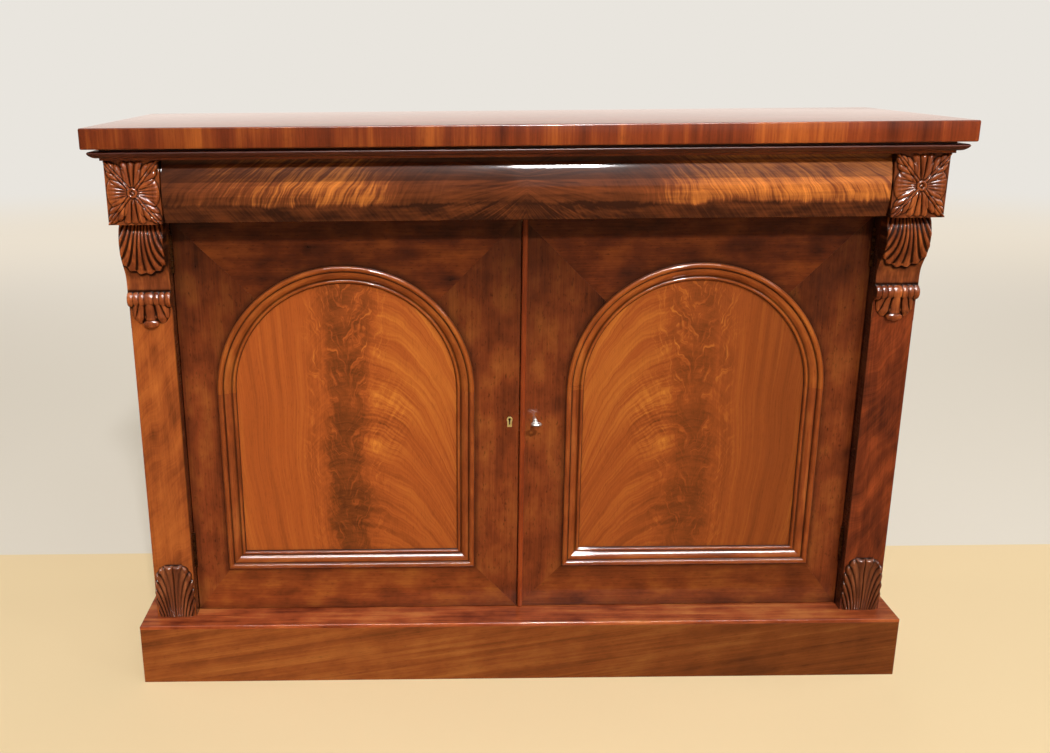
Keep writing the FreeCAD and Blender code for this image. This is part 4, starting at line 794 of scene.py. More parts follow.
class Blank:
    """A workpiece: a primitive at its size and place, shaped by edit-mode operators."""

    def __init__(self, name: str) -> None:
        """Take the primitive that was just added as the workpiece.

        Args:
            name: name of the piece and of its mesh.
        """
        self.piece = bpy.context.object
        self.piece.name = name
        self.piece.data.name = name

    @classmethod
    def sheet(cls, name: str, columns: int, rows: int,
              surface: Callable[[np.ndarray, np.ndarray], np.ndarray]) -> "Blank":
        """Grid primitive laid over a surface.

        Args:
            name: name of the piece.
            columns: squares across.
            rows: squares up.
            surface: gives x, y and z for arrays of u and v from 0 to 1.

        Returns:
            The open sheet.
        """
        put_down()
        bpy.ops.mesh.primitive_grid_add(x_subdivisions=columns, y_subdivisions=rows, size=2)
        blank = cls(name)
        flat = points_of(blank.piece)
        move_points(blank.piece, surface((flat[:, 0] + 1) / 2, (flat[:, 1] + 1) / 2))
        return blank

    @classmethod
    def section(cls, name: str, outline: Sequence[Vector]) -> "Blank":
        """Flat many-sided primitive with its corners moved onto an outline.

        Args:
            name: name of the piece.
            outline: its corners in order, in metres.

        Returns:
            The flat section.
        """
        put_down()
        bpy.ops.mesh.primitive_circle_add(vertices=len(outline), fill_type="NGON")
        blank = cls(name)
        move_points(blank.piece, np.array([tuple(point) for point in outline]))
        return blank

    @classmethod
    def block(cls, name: str, low: Sequence[float], high: Sequence[float]) -> "Blank":
        """Cube primitive between two corners.

        Args:
            name: name of the piece.
            low: corner with the smallest coordinates, in metres.
            high: opposite corner.

        Returns:
            The block.
        """
        put_down()
        low, high = Vector(low), Vector(high)
        bpy.ops.mesh.primitive_cube_add(size=1, location=(low + high) / 2)
        bpy.context.object.scale = high - low
        bpy.ops.object.transform_apply()
        return cls(name)

    @classmethod
    def disc(cls, name: str, centre: Sequence[float], radius: float, axis: Sequence[float],
             sides: int = 32) -> "Blank":
        """Round face primitive that looks along an axis.

        Args:
            name: name of the piece.
            centre: its middle, in metres.
            radius: its radius, in metres.
            axis: direction in which it looks.
            sides: number of corners.

        Returns:
            The flat disc.
        """
        put_down()
        turned = Vector(axis).to_track_quat("Z", "Y").to_euler()
        bpy.ops.mesh.primitive_circle_add(vertices=sides, radius=radius, fill_type="NGON",
                                          location=centre, rotation=turned)
        bpy.ops.object.transform_apply()
        return cls(name)

    def edit(self, mode: str = "FACE", chosen: str = "SELECT") -> None:
        """Enter edit mode with everything, or nothing, selected.

        Args:
            mode: what is selected: VERT, EDGE or FACE.
            chosen: SELECT for everything, DESELECT for nothing.
        """
        pick(self.piece)
        bpy.ops.object.mode_set(mode="EDIT")
        bpy.ops.mesh.select_mode(type=mode)
        bpy.ops.mesh.select_all(action=chosen)

    def push(self, way: Sequence[float]) -> "Blank":
        """Extrude the whole face along a vector.

        Args:
            way: how far and where to, in metres.

        Returns:
            The same workpiece.
        """
        self.edit()
        bpy.ops.mesh.extrude_region_move(TRANSFORM_OT_translate={"value": tuple(way)})
        put_down()
        return self

    def rims(self, steps: Sequence[tuple[float, float]], way: Vector, centre: Vector) -> "Blank":
        """Turn a round face into a lathe-like form by extruding and scaling it again and again.

        Args:
            steps: per ring, how far it moves along `way` and how much it grows.
            way: unit vector of the extrusion.
            centre: a point on the axis.

        Returns:
            The same workpiece.
        """
        self.edit()
        travelled = 0.0
        for move, grow in steps:
            bpy.ops.mesh.extrude_region_move(TRANSFORM_OT_translate={"value": tuple(way * move)})
            travelled += move
            bpy.ops.transform.resize(value=(grow, grow, grow),
                                     center_override=tuple(centre + way * travelled))
        put_down()
        return self

    def spin(self, centre: Sequence[float], axis: Sequence[float], angle: float, steps: int) -> "Blank":
        """Turn the section round an axis.

        Args:
            centre: a point on the axis, in metres.
            axis: direction of the axis.
            angle: how far it turns, in radians.
            steps: number of flats.

        Returns:
            The same workpiece.
        """
        self.edit()
        bpy.ops.mesh.spin(steps=steps, angle=angle, center=tuple(centre), axis=tuple(axis))
        put_down()
        return self

    def trim(self, point: Sequence[float], normal: Sequence[float]) -> "Blank":
        """Saw off what lies beyond a plane and close the cut.

        Args:
            point: a point on the plane, in metres.
            normal: direction of the side that is sawn off.

        Returns:
            The same workpiece.
        """
        self.edit()
        bpy.ops.mesh.bisect(plane_co=tuple(point), plane_no=tuple(normal), use_fill=True, clear_outer=True)
        put_down()
        return self

    def back_to(self, depth: float) -> "Blank":
        """Carry the open border of a sheet back to the plane y = depth and close it.

        Args:
            depth: y of the back plane, in metres.

        Returns:
            The same workpiece.
        """
        self.edit("EDGE", "DESELECT")
        bpy.ops.mesh.select_non_manifold()
        bpy.ops.mesh.extrude_edges_move()
        bpy.ops.object.mode_set(mode="OBJECT")
        for vertex in self.piece.data.vertices:
            if vertex.select:
                vertex.co.y = depth
        bpy.ops.object.mode_set(mode="EDIT")
        bpy.ops.mesh.edge_face_add()
        put_down()
        return self

    def round_edges(self, width: float, segments: int, chooses: Callable[[Vector, Vector], bool]) -> "Blank":
        """Bevel the edges that a test picks.

        Args:
            width: size of the rounding.
            segments: number of flats.
            chooses: takes the middle and the direction of an edge.

        Returns:
            The same workpiece.
        """
        self.edit("EDGE", "DESELECT")
        bpy.ops.object.mode_set(mode="OBJECT")
        corners = self.piece.data.vertices
        for edge in self.piece.data.edges:
            first, last = (corners[index].co for index in edge.vertices)
            edge.select = bool(chooses((first + last) / 2, (last - first).normalized()))
        bpy.ops.object.mode_set(mode="EDIT")
        bpy.ops.mesh.bevel(offset=width, segments=segments, profile=0.5, affect="EDGES")
        put_down()
        return self

    def record(self, name: str, values: np.ndarray) -> "Blank":
        """Store one number, or one vector, per corner as an attribute that finishes read.

        Args:
            name: name of the attribute.
            values: one number, or one row of three, for each corner.

        Returns:
            The same workpiece.
        """
        kind, field_name = ("FLOAT", "value") if values.ndim == 1 else ("FLOAT_VECTOR", "vector")
        layer = self.piece.data.attributes.new(name, kind, "POINT")
        layer.data.foreach_set(field_name, np.ascontiguousarray(values, dtype=np.float32).ravel())
        return self

    def done(self, finish: Finish, smooth: float = 35.0) -> bpy.types.Object:
        """Close the work: merge doubles, turn faces outwards, smooth and give the finish.

        Args:
            finish: finish of the whole piece.
            smooth: angle in degrees up to which edges look round.

        Returns:
            The finished piece.
        """
        self.edit("VERT")
        bpy.ops.mesh.remove_doubles(threshold=1e-6)
        bpy.ops.mesh.normals_make_consistent(inside=False)
        pick(self.piece)
        bpy.ops.object.shade_smooth_by_angle(angle=math.radians(smooth))
        put_down()
        self.piece.data.materials.clear()
        self.piece.data.materials.append(finish.material())
        return self.piece


def joined(name: str, pieces: Sequence[bpy.types.Object]) -> bpy.types.Object:
    """Glue pieces into one object.

    Args:
        name: name of the result.
        pieces: objects to join; the first one's materials come first.

    Returns:
        The joined object.
    """
    pick(*pieces)
    bpy.ops.object.join()
    pieces[0].name = name
    pieces[0].data.name = name
    put_down()
    return pieces[0]


def mirrored(piece: bpy.types.Object, name: str) -> bpy.types.Object:
    """Copy a piece to the other side of the centre line, with its own mesh.

    Args:
        piece: finished piece.
        name: name of the copy.

    Returns:
        The copy, its faces turned outwards.
    """
    twin = piece.copy()
    twin.data = piece.data.copy()
    twin.name = name
    twin.data.name = name
    bpy.context.scene.collection.objects.link(twin)
    twin.data.transform(Matrix.Diagonal((-1, 1, 1, 1)))
    twin.data.flip_normals()
    return twin


def seat(piece: bpy.types.Object, body: str, slot: str, *nodes: str) -> None:
    """Let a piece ride on its body and stand for its CAD nodes.

    Args:
        piece: finished piece.
        body: body of the frame that it moves with.
        slot: not used.
        nodes: CAD nodes that it replaces.
    """
    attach(piece, body)
    if nodes:
        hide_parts(*nodes)
    LOG.info("%s on %s: %d faces", piece.name, body, len(piece.data.polygons))


def flowing(x: np.ndarray, places: Sequence[float], values: Sequence[float]) -> np.ndarray:
    """Smooth curve through given points.

    Args:
        x: where the curve is wanted.
        places: positions of the points, rising.
        values: their values.

    Returns:
        The curve at every x, level beyond both ends.
    """
    spots, heights = np.array(places, dtype=float), np.array(values, dtype=float)
    slopes = np.gradient(heights, spots)
    x = np.clip(x, spots[0], spots[-1])
    cell = np.clip(np.searchsorted(spots, x, side="right") - 1, 0, len(spots) - 2)
    span = spots[cell + 1] - spots[cell]
    t = (x - spots[cell]) / span
    return (heights[cell] * (1 + 2 * t) * (1 - t) ** 2 + heights[cell + 1] * t * t * (3 - 2 * t)
            + span * slopes[cell] * t * (1 - t) ** 2 - span * slopes[cell + 1] * t * t * (1 - t))


def brink(inside: np.ndarray, run: float = 1.8) -> np.ndarray:
    """Rounded wall of a carved form: 0 outside its outline, 1 from `run` mm inside it."""
    return np.sqrt(np.clip(inside / run, 0, 1) * (2 - np.clip(inside / run, 0, 1)))


def ridge(count: np.ndarray, sharp: float = 1.0) -> np.ndarray:
    """Crests at whole numbers and hollows between them, from 1 down to 0."""
    return np.abs(np.cos(count * math.pi)) ** sharp


def rib_count(side: np.ndarray, rise: np.ndarray, ribs: tuple[float, float]) -> np.ndarray:
    """Ribs between a leaf's middle and each place, with `ribs` on a side at its root and its tip."""
    return side * (1.35 - 0.35 * side) * (ribs[0] + (ribs[1] - ribs[0]) * rise)


def hollows(height: np.ndarray, reach: int, full: float) -> np.ndarray:
    """How deep each place of a relief lies below its surroundings.

    Args:
        height: heights on a regular grid.
        reach: number of averaging passes.
        full: depth that counts as a full hollow, in millimetres.

    Returns:
        Values from -0.3 on crests, which are painted lighter (painted highlight and rubbed wear), to 1 in
        the deepest hollows, which are painted darker (painted shade and dirt).
    """
    mean = height.copy()
    for _ in range(reach):
        padded = np.pad(mean, 1, mode="edge")
        mean = (padded[:-2, 1:-1] + padded[2:, 1:-1] + padded[1:-1, :-2] + padded[1:-1, 2:] + mean) / 5
    return np.clip((mean - height) / full, -0.3, 1.0)


# ---------------------------------------------------------------- carving
@dataclass
class Relief:
    """A carved piece on the right-hand side: a height field with a flat back."""

    node: str
    slot: str = "carved_mahogany"
    columns: int = 110            # squares of the sheet that is carved
    rows: int = 130
    sharp: float = 50.0           # edges up to this angle, in degrees, look round
    reach: int = 22               # averaging passes of the painted shade and dirt in the hollows
    full: float = 0.9             # depth of a full hollow, in millimetres
    finish: Finish = CARVED

    def height(self, across: np.ndarray, up: np.ndarray) -> np.ndarray:
        """Height of the carving above the back plane, all in millimetres; each piece has its own."""
        raise NotImplementedError

    def fullness(self, up: np.ndarray) -> np.ndarray:
        """Width of the piece at each height, as a share of its full width."""
        return np.ones_like(up)

    def build(self) -> None:
        """Carve the right piece, copy it to the left and seat both."""
        low, high = (np.array(corner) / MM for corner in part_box(self.node + "_right"))
        middle = (low + high) / 2
        grid: dict[str, np.ndarray] = {}

        def surface(u: np.ndarray, v: np.ndarray) -> np.ndarray:
            """Carved surface of the right-hand piece.

            Args:
                u: place across, from 0 to 1.
                v: place upwards, from 0 to 1.

            Returns:
                Rows of x, y and z in metres.
            """
            up = (v - 0.5) * (high[2] - low[2])
            across = (u - 0.5) * (high[0] - low[0]) * self.fullness(up)
            grid["height"] = self.height(across, up)
            return np.stack([middle[0] + across, high[1] - grid["height"], middle[2] + up], axis=1) * MM

        blank = Blank.sheet(self.node + "_carving_right", self.columns, self.rows, surface)
        shape = (self.rows + 1, self.columns + 1)
        spots = points_of(blank.piece).round(6)
        order = np.lexsort((spots[:, 0], spots[:, 2]))
        # Painted shade and dirt in the carving's hollows, and a painted highlight on its crests.
        hollow_shade_and_dirt = np.empty(len(order))
        hollow_shade_and_dirt[order] = hollows(grid["height"][order].reshape(shape), self.reach, self.full).ravel()
        blank.record("hollow_shade_and_dirt", hollow_shade_and_dirt)
        blank.back_to((high[1] + 0.1) * MM)
        right = blank.done(self.finish, self.sharp)
        left = mirrored(right, self.node + "_carving_left")
        seat(right, "carcass", self.slot, self.node + "_right")
        seat(left, "carcass", self.slot, self.node + "_left")


@dataclass
class FlowerBlock(Relief):
    """Square block with an eight-petalled flower: four ribbed leaves and four broad petals."""

    node: str = "patera_block"
    columns: int = 150
    rows: int = 176
    depth: float = 8.0            # of the carving
    half_wide: float = 42.5       # from the middle to the sides of the block
    half_high: float = 50.5
    block: float = 66.0           # from the back of the block to the ground of the carving

    def height(self, across: np.ndarray, up: np.ndarray) -> np.ndarray:
        """Highest of the petals, leaves and button at each place.

        Args:
            across: distance from the middle, in millimetres.
            up: height above the middle, in millimetres.

        Returns:
            Heights above the back plane, in millimetres.
        """
        top = np.full_like(across, 0.3)
        for way in (1, -1):
            top = np.maximum(top, self.ribbed_petal(up * way, across * way))
            top = np.maximum(top, self.fan_petal(across * way, up * way))
        corner = math.atan2(self.half_wide, self.half_high)
        for angle in (corner, math.pi - corner, math.pi + corner, -corner):
            sine, cosine = math.sin(angle), math.cos(angle)
            top = np.maximum(top, self.leaf(across * sine + up * cosine, across * cosine - up * sine,
                                            math.hypot(self.half_wide, self.half_high) - 1.5))
        return self.block + np.minimum(np.maximum(top, self.button(across, up)), self.depth)

    def ribbed_petal(self, along: np.ndarray, side: np.ndarray) -> np.ndarray:
        """Upright petal: three bold ribs that spread from the button.

        Args:
            along: distance from the button along the petal.
            side: distance from the petal's middle.

        Returns:
            Heights over the block's ground, 0 outside.
        """
        share = np.clip(along / (self.half_high - 1.0), 0.0, 1.2)
        width = 3.0 + 15.5 * share
        fan = np.clip(side / width, -1, 1)
        rib = np.abs(np.cos(fan * math.pi * 1.5)) ** 0.75
        end = np.clip(1 - (share / (1.0 - 0.05 * np.abs(np.sin(fan * math.pi * 1.5)))) ** 9, 0, 1) ** 0.5
        body = (1.6 + 5.4 * rib * (1 - 0.25 * np.abs(fan))) * np.clip(share * 4 - 0.3, 0.2, 1) * end
        return np.where((along > 0) & (np.abs(side) < width), body, 0.0)

    def fan_petal(self, along: np.ndarray, side: np.ndarray) -> np.ndarray:
        """Level petal: a dished fan of fine rays with a rolled outer edge.

        Args:
            along: distance from the button along the petal.
            side: distance from the petal's middle.

        Returns:
            Heights over the block's ground, 0 outside.
        """
        share = np.clip(along / (self.half_wide - 1.0), 0.0, 1.2)
        width = 3.0 + 20.0 * np.clip(share, 0, 1) ** 0.8
        fan = np.clip(side / width, -1, 1)
        end = np.clip(1 - (share / (1 - 0.16 * fan ** 2)) ** 8, 0, 1) ** 0.5
        rays = (0.75 * np.cos(fan * math.tau * 3.0)
                * np.clip(share * 2.2, 0, 1) * np.clip(1.5 - share * 1.2, 0.3, 1))
        dish = 4.8 + 1.9 * share ** 3 - 1.2 * np.exp(-((share - 0.45) / 0.22) ** 2) * (1 - fan ** 2)
        body = (dish + rays) * np.clip(1 - np.abs(fan) ** 5, 0, 1) ** 0.5 * end
        return np.where((along > 0) & (np.abs(side) < width), body, 0.0)

    def leaf(self, along: np.ndarray, side: np.ndarray, reach: float) -> np.ndarray:
        """Pointed leaf: a raised midrib and rounded fingers that slant towards the corner.

        Args:
            along: distance from the button towards the corner.
            side: distance from the midrib.
            reach: length of the leaf.

        Returns:
            Heights over the block's ground, 0 outside.
        """
        share = np.clip(along / reach, 0.0, 1.0)
        finger = share * 3.5 - np.abs(side) / 10.5
        crest = np.abs(np.sin(finger * math.pi)) ** 0.55
        width = (0.4 + 14.5 * np.sin(math.pi * share ** 0.85) ** 0.8) * (0.78 + 0.24 * crest)
        edge = np.abs(side) / width
        rib = 1.9 * np.exp(-(np.abs(side) / 1.1) ** 2) - 1.3 * np.exp(-((np.abs(side) - 2.6) / 0.9) ** 2)
        body = (2.8 + 1.6 * np.sin(math.pi * share) + 2.4 * crest) * np.clip(1 - edge ** 4, 0, 1) ** 0.5
        return np.where((along > 0) & (along < reach) & (edge < 1), np.maximum(body + rib, 0.0), 0.0)

    def button(self, across: np.ndarray, up: np.ndarray) -> np.ndarray:
        """Ringed button with a small four-sided boss.

        Args:
            across: distance from the middle, in millimetres.
            up: height above the middle, in millimetres.

        Returns:
            Heights over the block's ground, 0 outside.
        """
        radius = np.hypot(across, up)
        rim, hole = 8.2, 4.2
        ring = 5.2 + 2.8 * np.sqrt(np.clip(1 - ((radius - 5.9) / 2.3) ** 2, 0, 1))
        boss = 4.6 + 2.6 * np.clip(1 - (np.abs(across) + np.abs(up)) / 4.6, 0, 1)
        return np.where(radius < rim, np.where(radius > hole, ring, np.maximum(boss, 3.6)), 0.0)


@dataclass
class Console(Relief):
    """Console under the block: fluted leaf on an S-curve, plain neck, reeded roll and lobes."""

    node: str = "corbel"
    columns: int = 144
    rows: int = 330
    reach: int = 60
    full: float = 0.55
    half_wide: float = 35.5
    top: float = 88.75            # top of the console above its middle
    leaf_long: float = 86.0
    lip: float = 2.6              # how far the leaf's top lies over the body
    ribs: tuple[float, float] = (6.0, 1.6)      # on each side of the leaf's middle, at its top and its tip
    roll_down: float = 128.5      # centre of the roll below the top
    roll_radius: float = 13.0

    def height(self, across: np.ndarray, up: np.ndarray) -> np.ndarray:
        """Body, leaf, roll and lobes at each place.

        Args:
            across: distance from the middle, in millimetres.
            up: height above the middle, in millimetres.

        Returns:
            Heights above the back plane, in millimetres.
        """
        down = self.top - up
        body = np.where(down < self.roll_down, self.curve(down), ABSENT)
        return np.maximum.reduce([body, self.leaf(across, down), self.roll(across, down),
                                  self.lobes(across, down)])

    def curve(self, down: np.ndarray) -> np.ndarray:
        """Plain S-curve of the body seen from the side, below the leaf's surface.

        Args:
            down: distance below the console's top, in millimetres.

        Returns:
            Heights above the back plane, in millimetres.
        """
        places = (0, 10, 22, 34, 46, 58, 68, 78, 88, 100, 116, 135)
        proud = (15.5, 22, 26.5, 28, 26.5, 22.5, 17, 10.5, 5.5, 3.2, 3.0, 3.0)
        return flowing(down, places, proud)

    def leaf(self, across: np.ndarray, down: np.ndarray) -> np.ndarray:
        """Leaf whose flutes leave its middle one after the other, sweep outwards and end in tips.

        Args:
            across: distance from the middle, in millimetres.
            down: distance below the console's top, in millimetres.

        Returns:
            Heights in millimetres, just below 0 outside it.
        """
        share = np.clip(down / self.leaf_long, 0, 1.1)
        count = rib_count(np.abs(across) / self.half_wide, share, self.ribs)
        inside = np.abs(count - np.round(count)) * 2
        fall = np.clip((share * (1.0 + 0.05 * (1 - inside)) - 0.70) / 0.30, 0, 1)
        width = self.half_wide * np.sqrt(np.clip(1 - fall ** 2.2, 0, 1)) + 0.01
        edge = brink(width - np.abs(across), 2.0) * brink((1.0 - share) * self.leaf_long, 2.0)
        rise = (self.lip + 4.6 * np.clip(share, 0, 1) ** 2) * edge
        deep = flowing(np.abs(across), (0, 6, 16, 30), (2.2, 3.0, 4.2, 4.6))
        hollow = deep * (1 - ridge(count - 0.5, 1.5))
        cut = hollow * np.clip(rise / self.lip, 0, 1) * np.clip(down / 5.0, 0.35, 1)
        return np.where((np.abs(across) < width) & (share < 1.0), self.curve(down) + rise - cut, ABSENT)

    def reeds(self, across: np.ndarray) -> np.ndarray:
        """Relief of the seven reeds across the roll: 0 on their crests.

        Args:
            across: distance from the middle, in millimetres.

        Returns:
            Depths below the crests, in millimetres.
        """
        middle, apart, deep = 7.5, 9.4, 2.0
        count = np.where(np.abs(across) < middle, across / (2 * middle),
                         np.sign(across) * (0.5 + (np.abs(across) - middle) / apart))
        inside = np.abs(count - np.round(count)) * 2
        return deep * (1 - np.sqrt(np.clip(1 - 0.96 * inside ** 2, 0, 1)))

    def roll(self, across: np.ndarray, down: np.ndarray) -> np.ndarray:
        """Half-round roll with its reeds.

        Args:
            across: distance from the middle, in millimetres.
            down: distance below the console's top, in millimetres.

        Returns:
            Heights in millimetres, just below 0 outside it.
        """
        drop = down - self.roll_down
        radius = self.roll_radius - self.reeds(across)
        swell = 1.0 + np.sqrt(np.clip(radius ** 2 - drop ** 2, 0, None))
        return np.where(np.abs(drop) < radius, swell, ABSENT)

    def lobes(self, across: np.ndarray, down: np.ndarray) -> np.ndarray:
        """Two curling side lobes and a drop that hang from the roll and carry its reeds on.

        Args:
            across: distance from the middle, in millimetres.
            down: distance below the console's top, in millimetres.

        Returns:
            Heights in millimetres, just below 0 outside it.
        """
        drop = down - self.roll_down
        flare = 1 + 0.7 * np.clip(drop / 40, 0, 1) ** 1.4
        grooves = self.reeds(across / flare) * 2.0
        result = np.full_like(across, ABSENT)
        for centre, long, half, proud in ((-16.5, 42.0, 16.5, 10.5), (16.5, 42.0, 16.5, 10.5),
                                          (0.0, 49.0, 15.0, 11.0)):
            aside = across - centre * (1 - 0.10 * np.clip(drop / 36, 0, 1))
            edge = (aside / half) ** 2 + (np.clip(drop / long, 0, 2)) ** 4
            carried = proud * (1 - 0.20 * np.clip(drop / long, 0, 1)) + 2.2 * np.exp(-(drop / 14) ** 2)
            thick = carried * np.sqrt(np.clip(1 - edge, 0, 1))
            curl = 1.6 * np.exp(-((drop - long * 0.72) / 4.5) ** 2)
            lobe = np.where((edge < 1) & (drop > 0), thick - grooves + curl, ABSENT)
            result = np.maximum(result, lobe)
        bead = (across / 13.0) ** 2 + ((drop - 41.0) / 7.0) ** 2
        knob = 6.0 + 5.5 * np.sqrt(np.clip(1 - bead, 0, 1))
        return np.maximum(result, np.where(bead < 1, knob, ABSENT))


@dataclass
class FootLeaf(Relief):
    """Upright leaf at the foot of a pilaster: ribs that fan from its foot under a curled tip."""

    node: str = "foot_leaf"
    columns: int = 130
    rows: int = 170
    reach: int = 40
    full: float = 1.5
    finish: Finish = DARK_CARVED
    half_wide: float = 35.0
    tall: float = 102.0
    ribs: tuple[float, float] = (7.2, 1.6)      # on each side of the middle, at the foot and at the tip

    def count(self, side: np.ndarray, rise: np.ndarray) -> np.ndarray:
        """Number of ribs between the middle and a place; they spread upwards and outwards."""
        return rib_count(side / self.half_wide, rise, self.ribs)

    def fullness(self, up: np.ndarray) -> np.ndarray:
        """Rounded top, slightly narrower foot and a small lobe at the end of every rib.

        Args:
            up: height above the middle, in millimetres.

        Returns:
            Shares of the full width.
        """
        rise = np.clip(up / self.tall + 0.5, 0, 1)
        wide = flowing(rise, (0, 0.12, 0.35, 0.6, 0.76, 0.88, 0.95, 1.0),
                       (0.86, 0.94, 1.0, 0.99, 0.95, 0.83, 0.66, 0.44))
        lobe = ridge(self.count(wide * self.half_wide, rise) - 0.5)
        return wide * (0.93 + 0.07 * lobe)

    def height(self, across: np.ndarray, up: np.ndarray) -> np.ndarray:
        """Deep ribs at the sides, a quiet middle with one dark line, and curled knobs along the top.

        Args:
            across: distance from the middle, in millimetres.
            up: height above the middle, in millimetres.

        Returns:
            Heights above the back plane, in millimetres.
        """
        rise = np.clip(up / self.tall + 0.5, 0, 1)
        side = np.abs(across)
        count = self.count(side, rise)
        crest = ridge(count - 0.5, 0.8)
        deep = flowing(side, (0, 3, 9, 18, 30), (3.6, 1.6, 1.6, 3.8, 4.8))
        swell = flowing(rise, (0, 0.2, 0.45, 0.7, 0.84, 0.93, 1.0), (5.4, 7.4, 8.2, 7.2, 8.2, 8.8, 5.6))
        inside = np.minimum(self.fullness(up) * self.half_wide - side, (1 - rise) * self.tall)
        knob = 2.6 * np.exp(-((inside - 4.2) / 2.6) ** 2) * crest * np.clip((rise - 0.5) / 0.3, 0, 1)
        body = swell - deep * (1 - crest) - 1.2 * (side / self.half_wide) ** 2 + knob
        return np.clip(body * (0.25 + 0.75 * brink(inside, 3.0)), 0.6, 11.9)


# ---------------------------------------------------------------- mouldings
@dataclass
class DoorMoulding:
    """Bead, ogee and inner bead round one door's panel: an arch, two uprights and a bottom."""

    recess: float = 8.0           # panel face behind it
    lap: float = 12.0             # how far it lies on the frame
    turns: int = 64               # flats of the arch

    def profile(self) -> list[tuple[float, float]]:
        """Outline of the section as distances inwards from the outer edge and proud of the door.

        Returns:
            The outline's corners in order, in millimetres.
        """
        outline = [(0.0, 0.0), (0.0, 2.6)]
        outline += arc((0.0, 2.6), (4.6, 7.4), (9.2, 2.8), 12)
        outline += [(9.9, 1.7), (10.6, 1.5)]
        outline += arc((10.6, 1.5), (16.4, 0.9), (20.5, -2.4), 8)
        outline += [(22.6, -4.0), (24.4, -4.6)]
        outline += arc((24.4, -4.6), (27.1, -1.8), (29.8, -4.6), 9)
        outline += [(31.0, -5.4), (31.0, -self.recess), (self.lap, -self.recess), (self.lap, 0.0)]
        return outline

    def quirk_shade_and_dirt(self, inward: np.ndarray) -> np.ndarray:
        """Painted shade and dust, 0 to 1, in the two quirks and against the panel.

        Args:
            inward: distance in from the outer edge, in millimetres.

        Returns:
            Values for the attribute of painted shade and dirt in hollows.
        """
        shade_and_dirt = np.zeros_like(inward)
        for quirk, wide in ((-0.5, 1.0), (10.2, 1.2), (23.6, 1.6), (31.0, 1.2)):
            shade_and_dirt = np.maximum(shade_and_dirt, np.exp(-((inward - quirk) / wide) ** 2))
        return shade_and_dirt

    def section(self, name: str, put: Callable[[float, float], Sequence[float]]) -> Blank:
        """Section of the moulding, with `put` to place a point that lies inwards and proud, in mm."""
        return Blank.section(name, [Vector(put(inward, proud)) * MM for inward, proud in self.profile()])

    def arch(self, name: str, middle: float) -> bpy.types.Object:
        """Turn the arch in one piece, with its grain running round.

        Args:
            name: name of the piece.
            middle: middle of the door's panel.

        Returns:
            The finished arch.
        """
        blank = self.section(name, lambda inward, proud: (
            middle + ARCH_RADIUS - inward, DOOR_FACE - proud, ARCH_SPRING))
        blank.spin(Vector((middle, DOOR_FACE, ARCH_SPRING)) * MM, (0, 1, 0), math.pi, self.turns)
        spots = points_of(blank.piece) / MM
        around = np.arctan2(spots[:, 2] - ARCH_SPRING, spots[:, 0] - middle) * ARCH_RADIUS
        apart = np.hypot(spots[:, 2] - ARCH_SPRING, spots[:, 0] - middle)
        blank.record("run", np.stack([around, apart, spots[:, 1]], axis=1) * MM)
        # Painted shade and dust in the moulding's quirks, here and on the straight lengths.
        blank.record("hollow_shade_and_dirt", self.quirk_shade_and_dirt(ARCH_RADIUS - apart))
        return blank.done(MOULDED)

    def upright(self, name: str, middle: float, end: int) -> bpy.types.Object:
        """Plane one upright and mitre its foot.

        Args:
            name: name of the piece.
            middle: middle of the door's panel.
            end: 1 for the right-hand upright and -1 for the left-hand one.

        Returns:
            The finished upright.
        """
        blank = self.section(name, lambda inward, proud: (
            middle + end * (ARCH_RADIUS - inward), DOOR_FACE - proud, ARCH_SPRING))
        blank.push((0, 0, (PANEL_BOTTOM - ARCH_SPRING - 1) * MM))
        blank.trim(self.corner(middle, end), Vector((-end, 0, -1)))
        spots = points_of(blank.piece) / MM
        blank.record("run", np.stack([spots[:, 2] + 500 * end, spots[:, 0], spots[:, 1]], axis=1) * MM)
        blank.record("hollow_shade_and_dirt", self.quirk_shade_and_dirt(ARCH_RADIUS - np.abs(spots[:, 0] - middle)))
        return blank.done(STRAIGHT_MOULDED)

    def low(self, name: str, middle: float) -> bpy.types.Object:
        """Plane the bottom length and mitre both ends.

        Args:
            name: name of the piece.
            middle: middle of the door's panel.

        Returns:
            The finished length.
        """
        blank = self.section(name, lambda inward, proud: (
            middle - ARCH_RADIUS, DOOR_FACE - proud, PANEL_BOTTOM + inward))
        blank.push((2 * ARCH_RADIUS * MM, 0, 0))
        for end in (1, -1):
            blank.trim(self.corner(middle, end), Vector((end, 0, 1)))
        spots = points_of(blank.piece)
        blank.record("run", spots[:, [0, 2, 1]])
        blank.record("hollow_shade_and_dirt", self.quirk_shade_and_dirt(spots[:, 2] / MM - PANEL_BOTTOM))
        return blank.done(STRAIGHT_MOULDED)

    def corner(self, middle: float, end: int) -> Vector:
        """Outer corner of the bottom mitre, in metres."""
        return Vector((middle + end * ARCH_RADIUS, DOOR_FACE, PANEL_BOTTOM)) * MM

    def build(self, body: str, side: int) -> None:
        """Make the four lengths for one door.

        Args:
            body: the door's body.
            side: 1 for the right door and -1 for the left.
        """
        middle = side * PANEL_CENTRE
        lengths = [self.arch(body + "_arch_moulding", middle)]
        for end in (1, -1):
            place = "outer" if end == side else "inner"
            lengths.append(self.upright(f"{body}_upright_{place}", middle, end))
        lengths.append(self.low(body + "_bottom_moulding", middle))
        for piece in lengths:
            seat(piece, body, "door_moulding", body + "_mouldings")


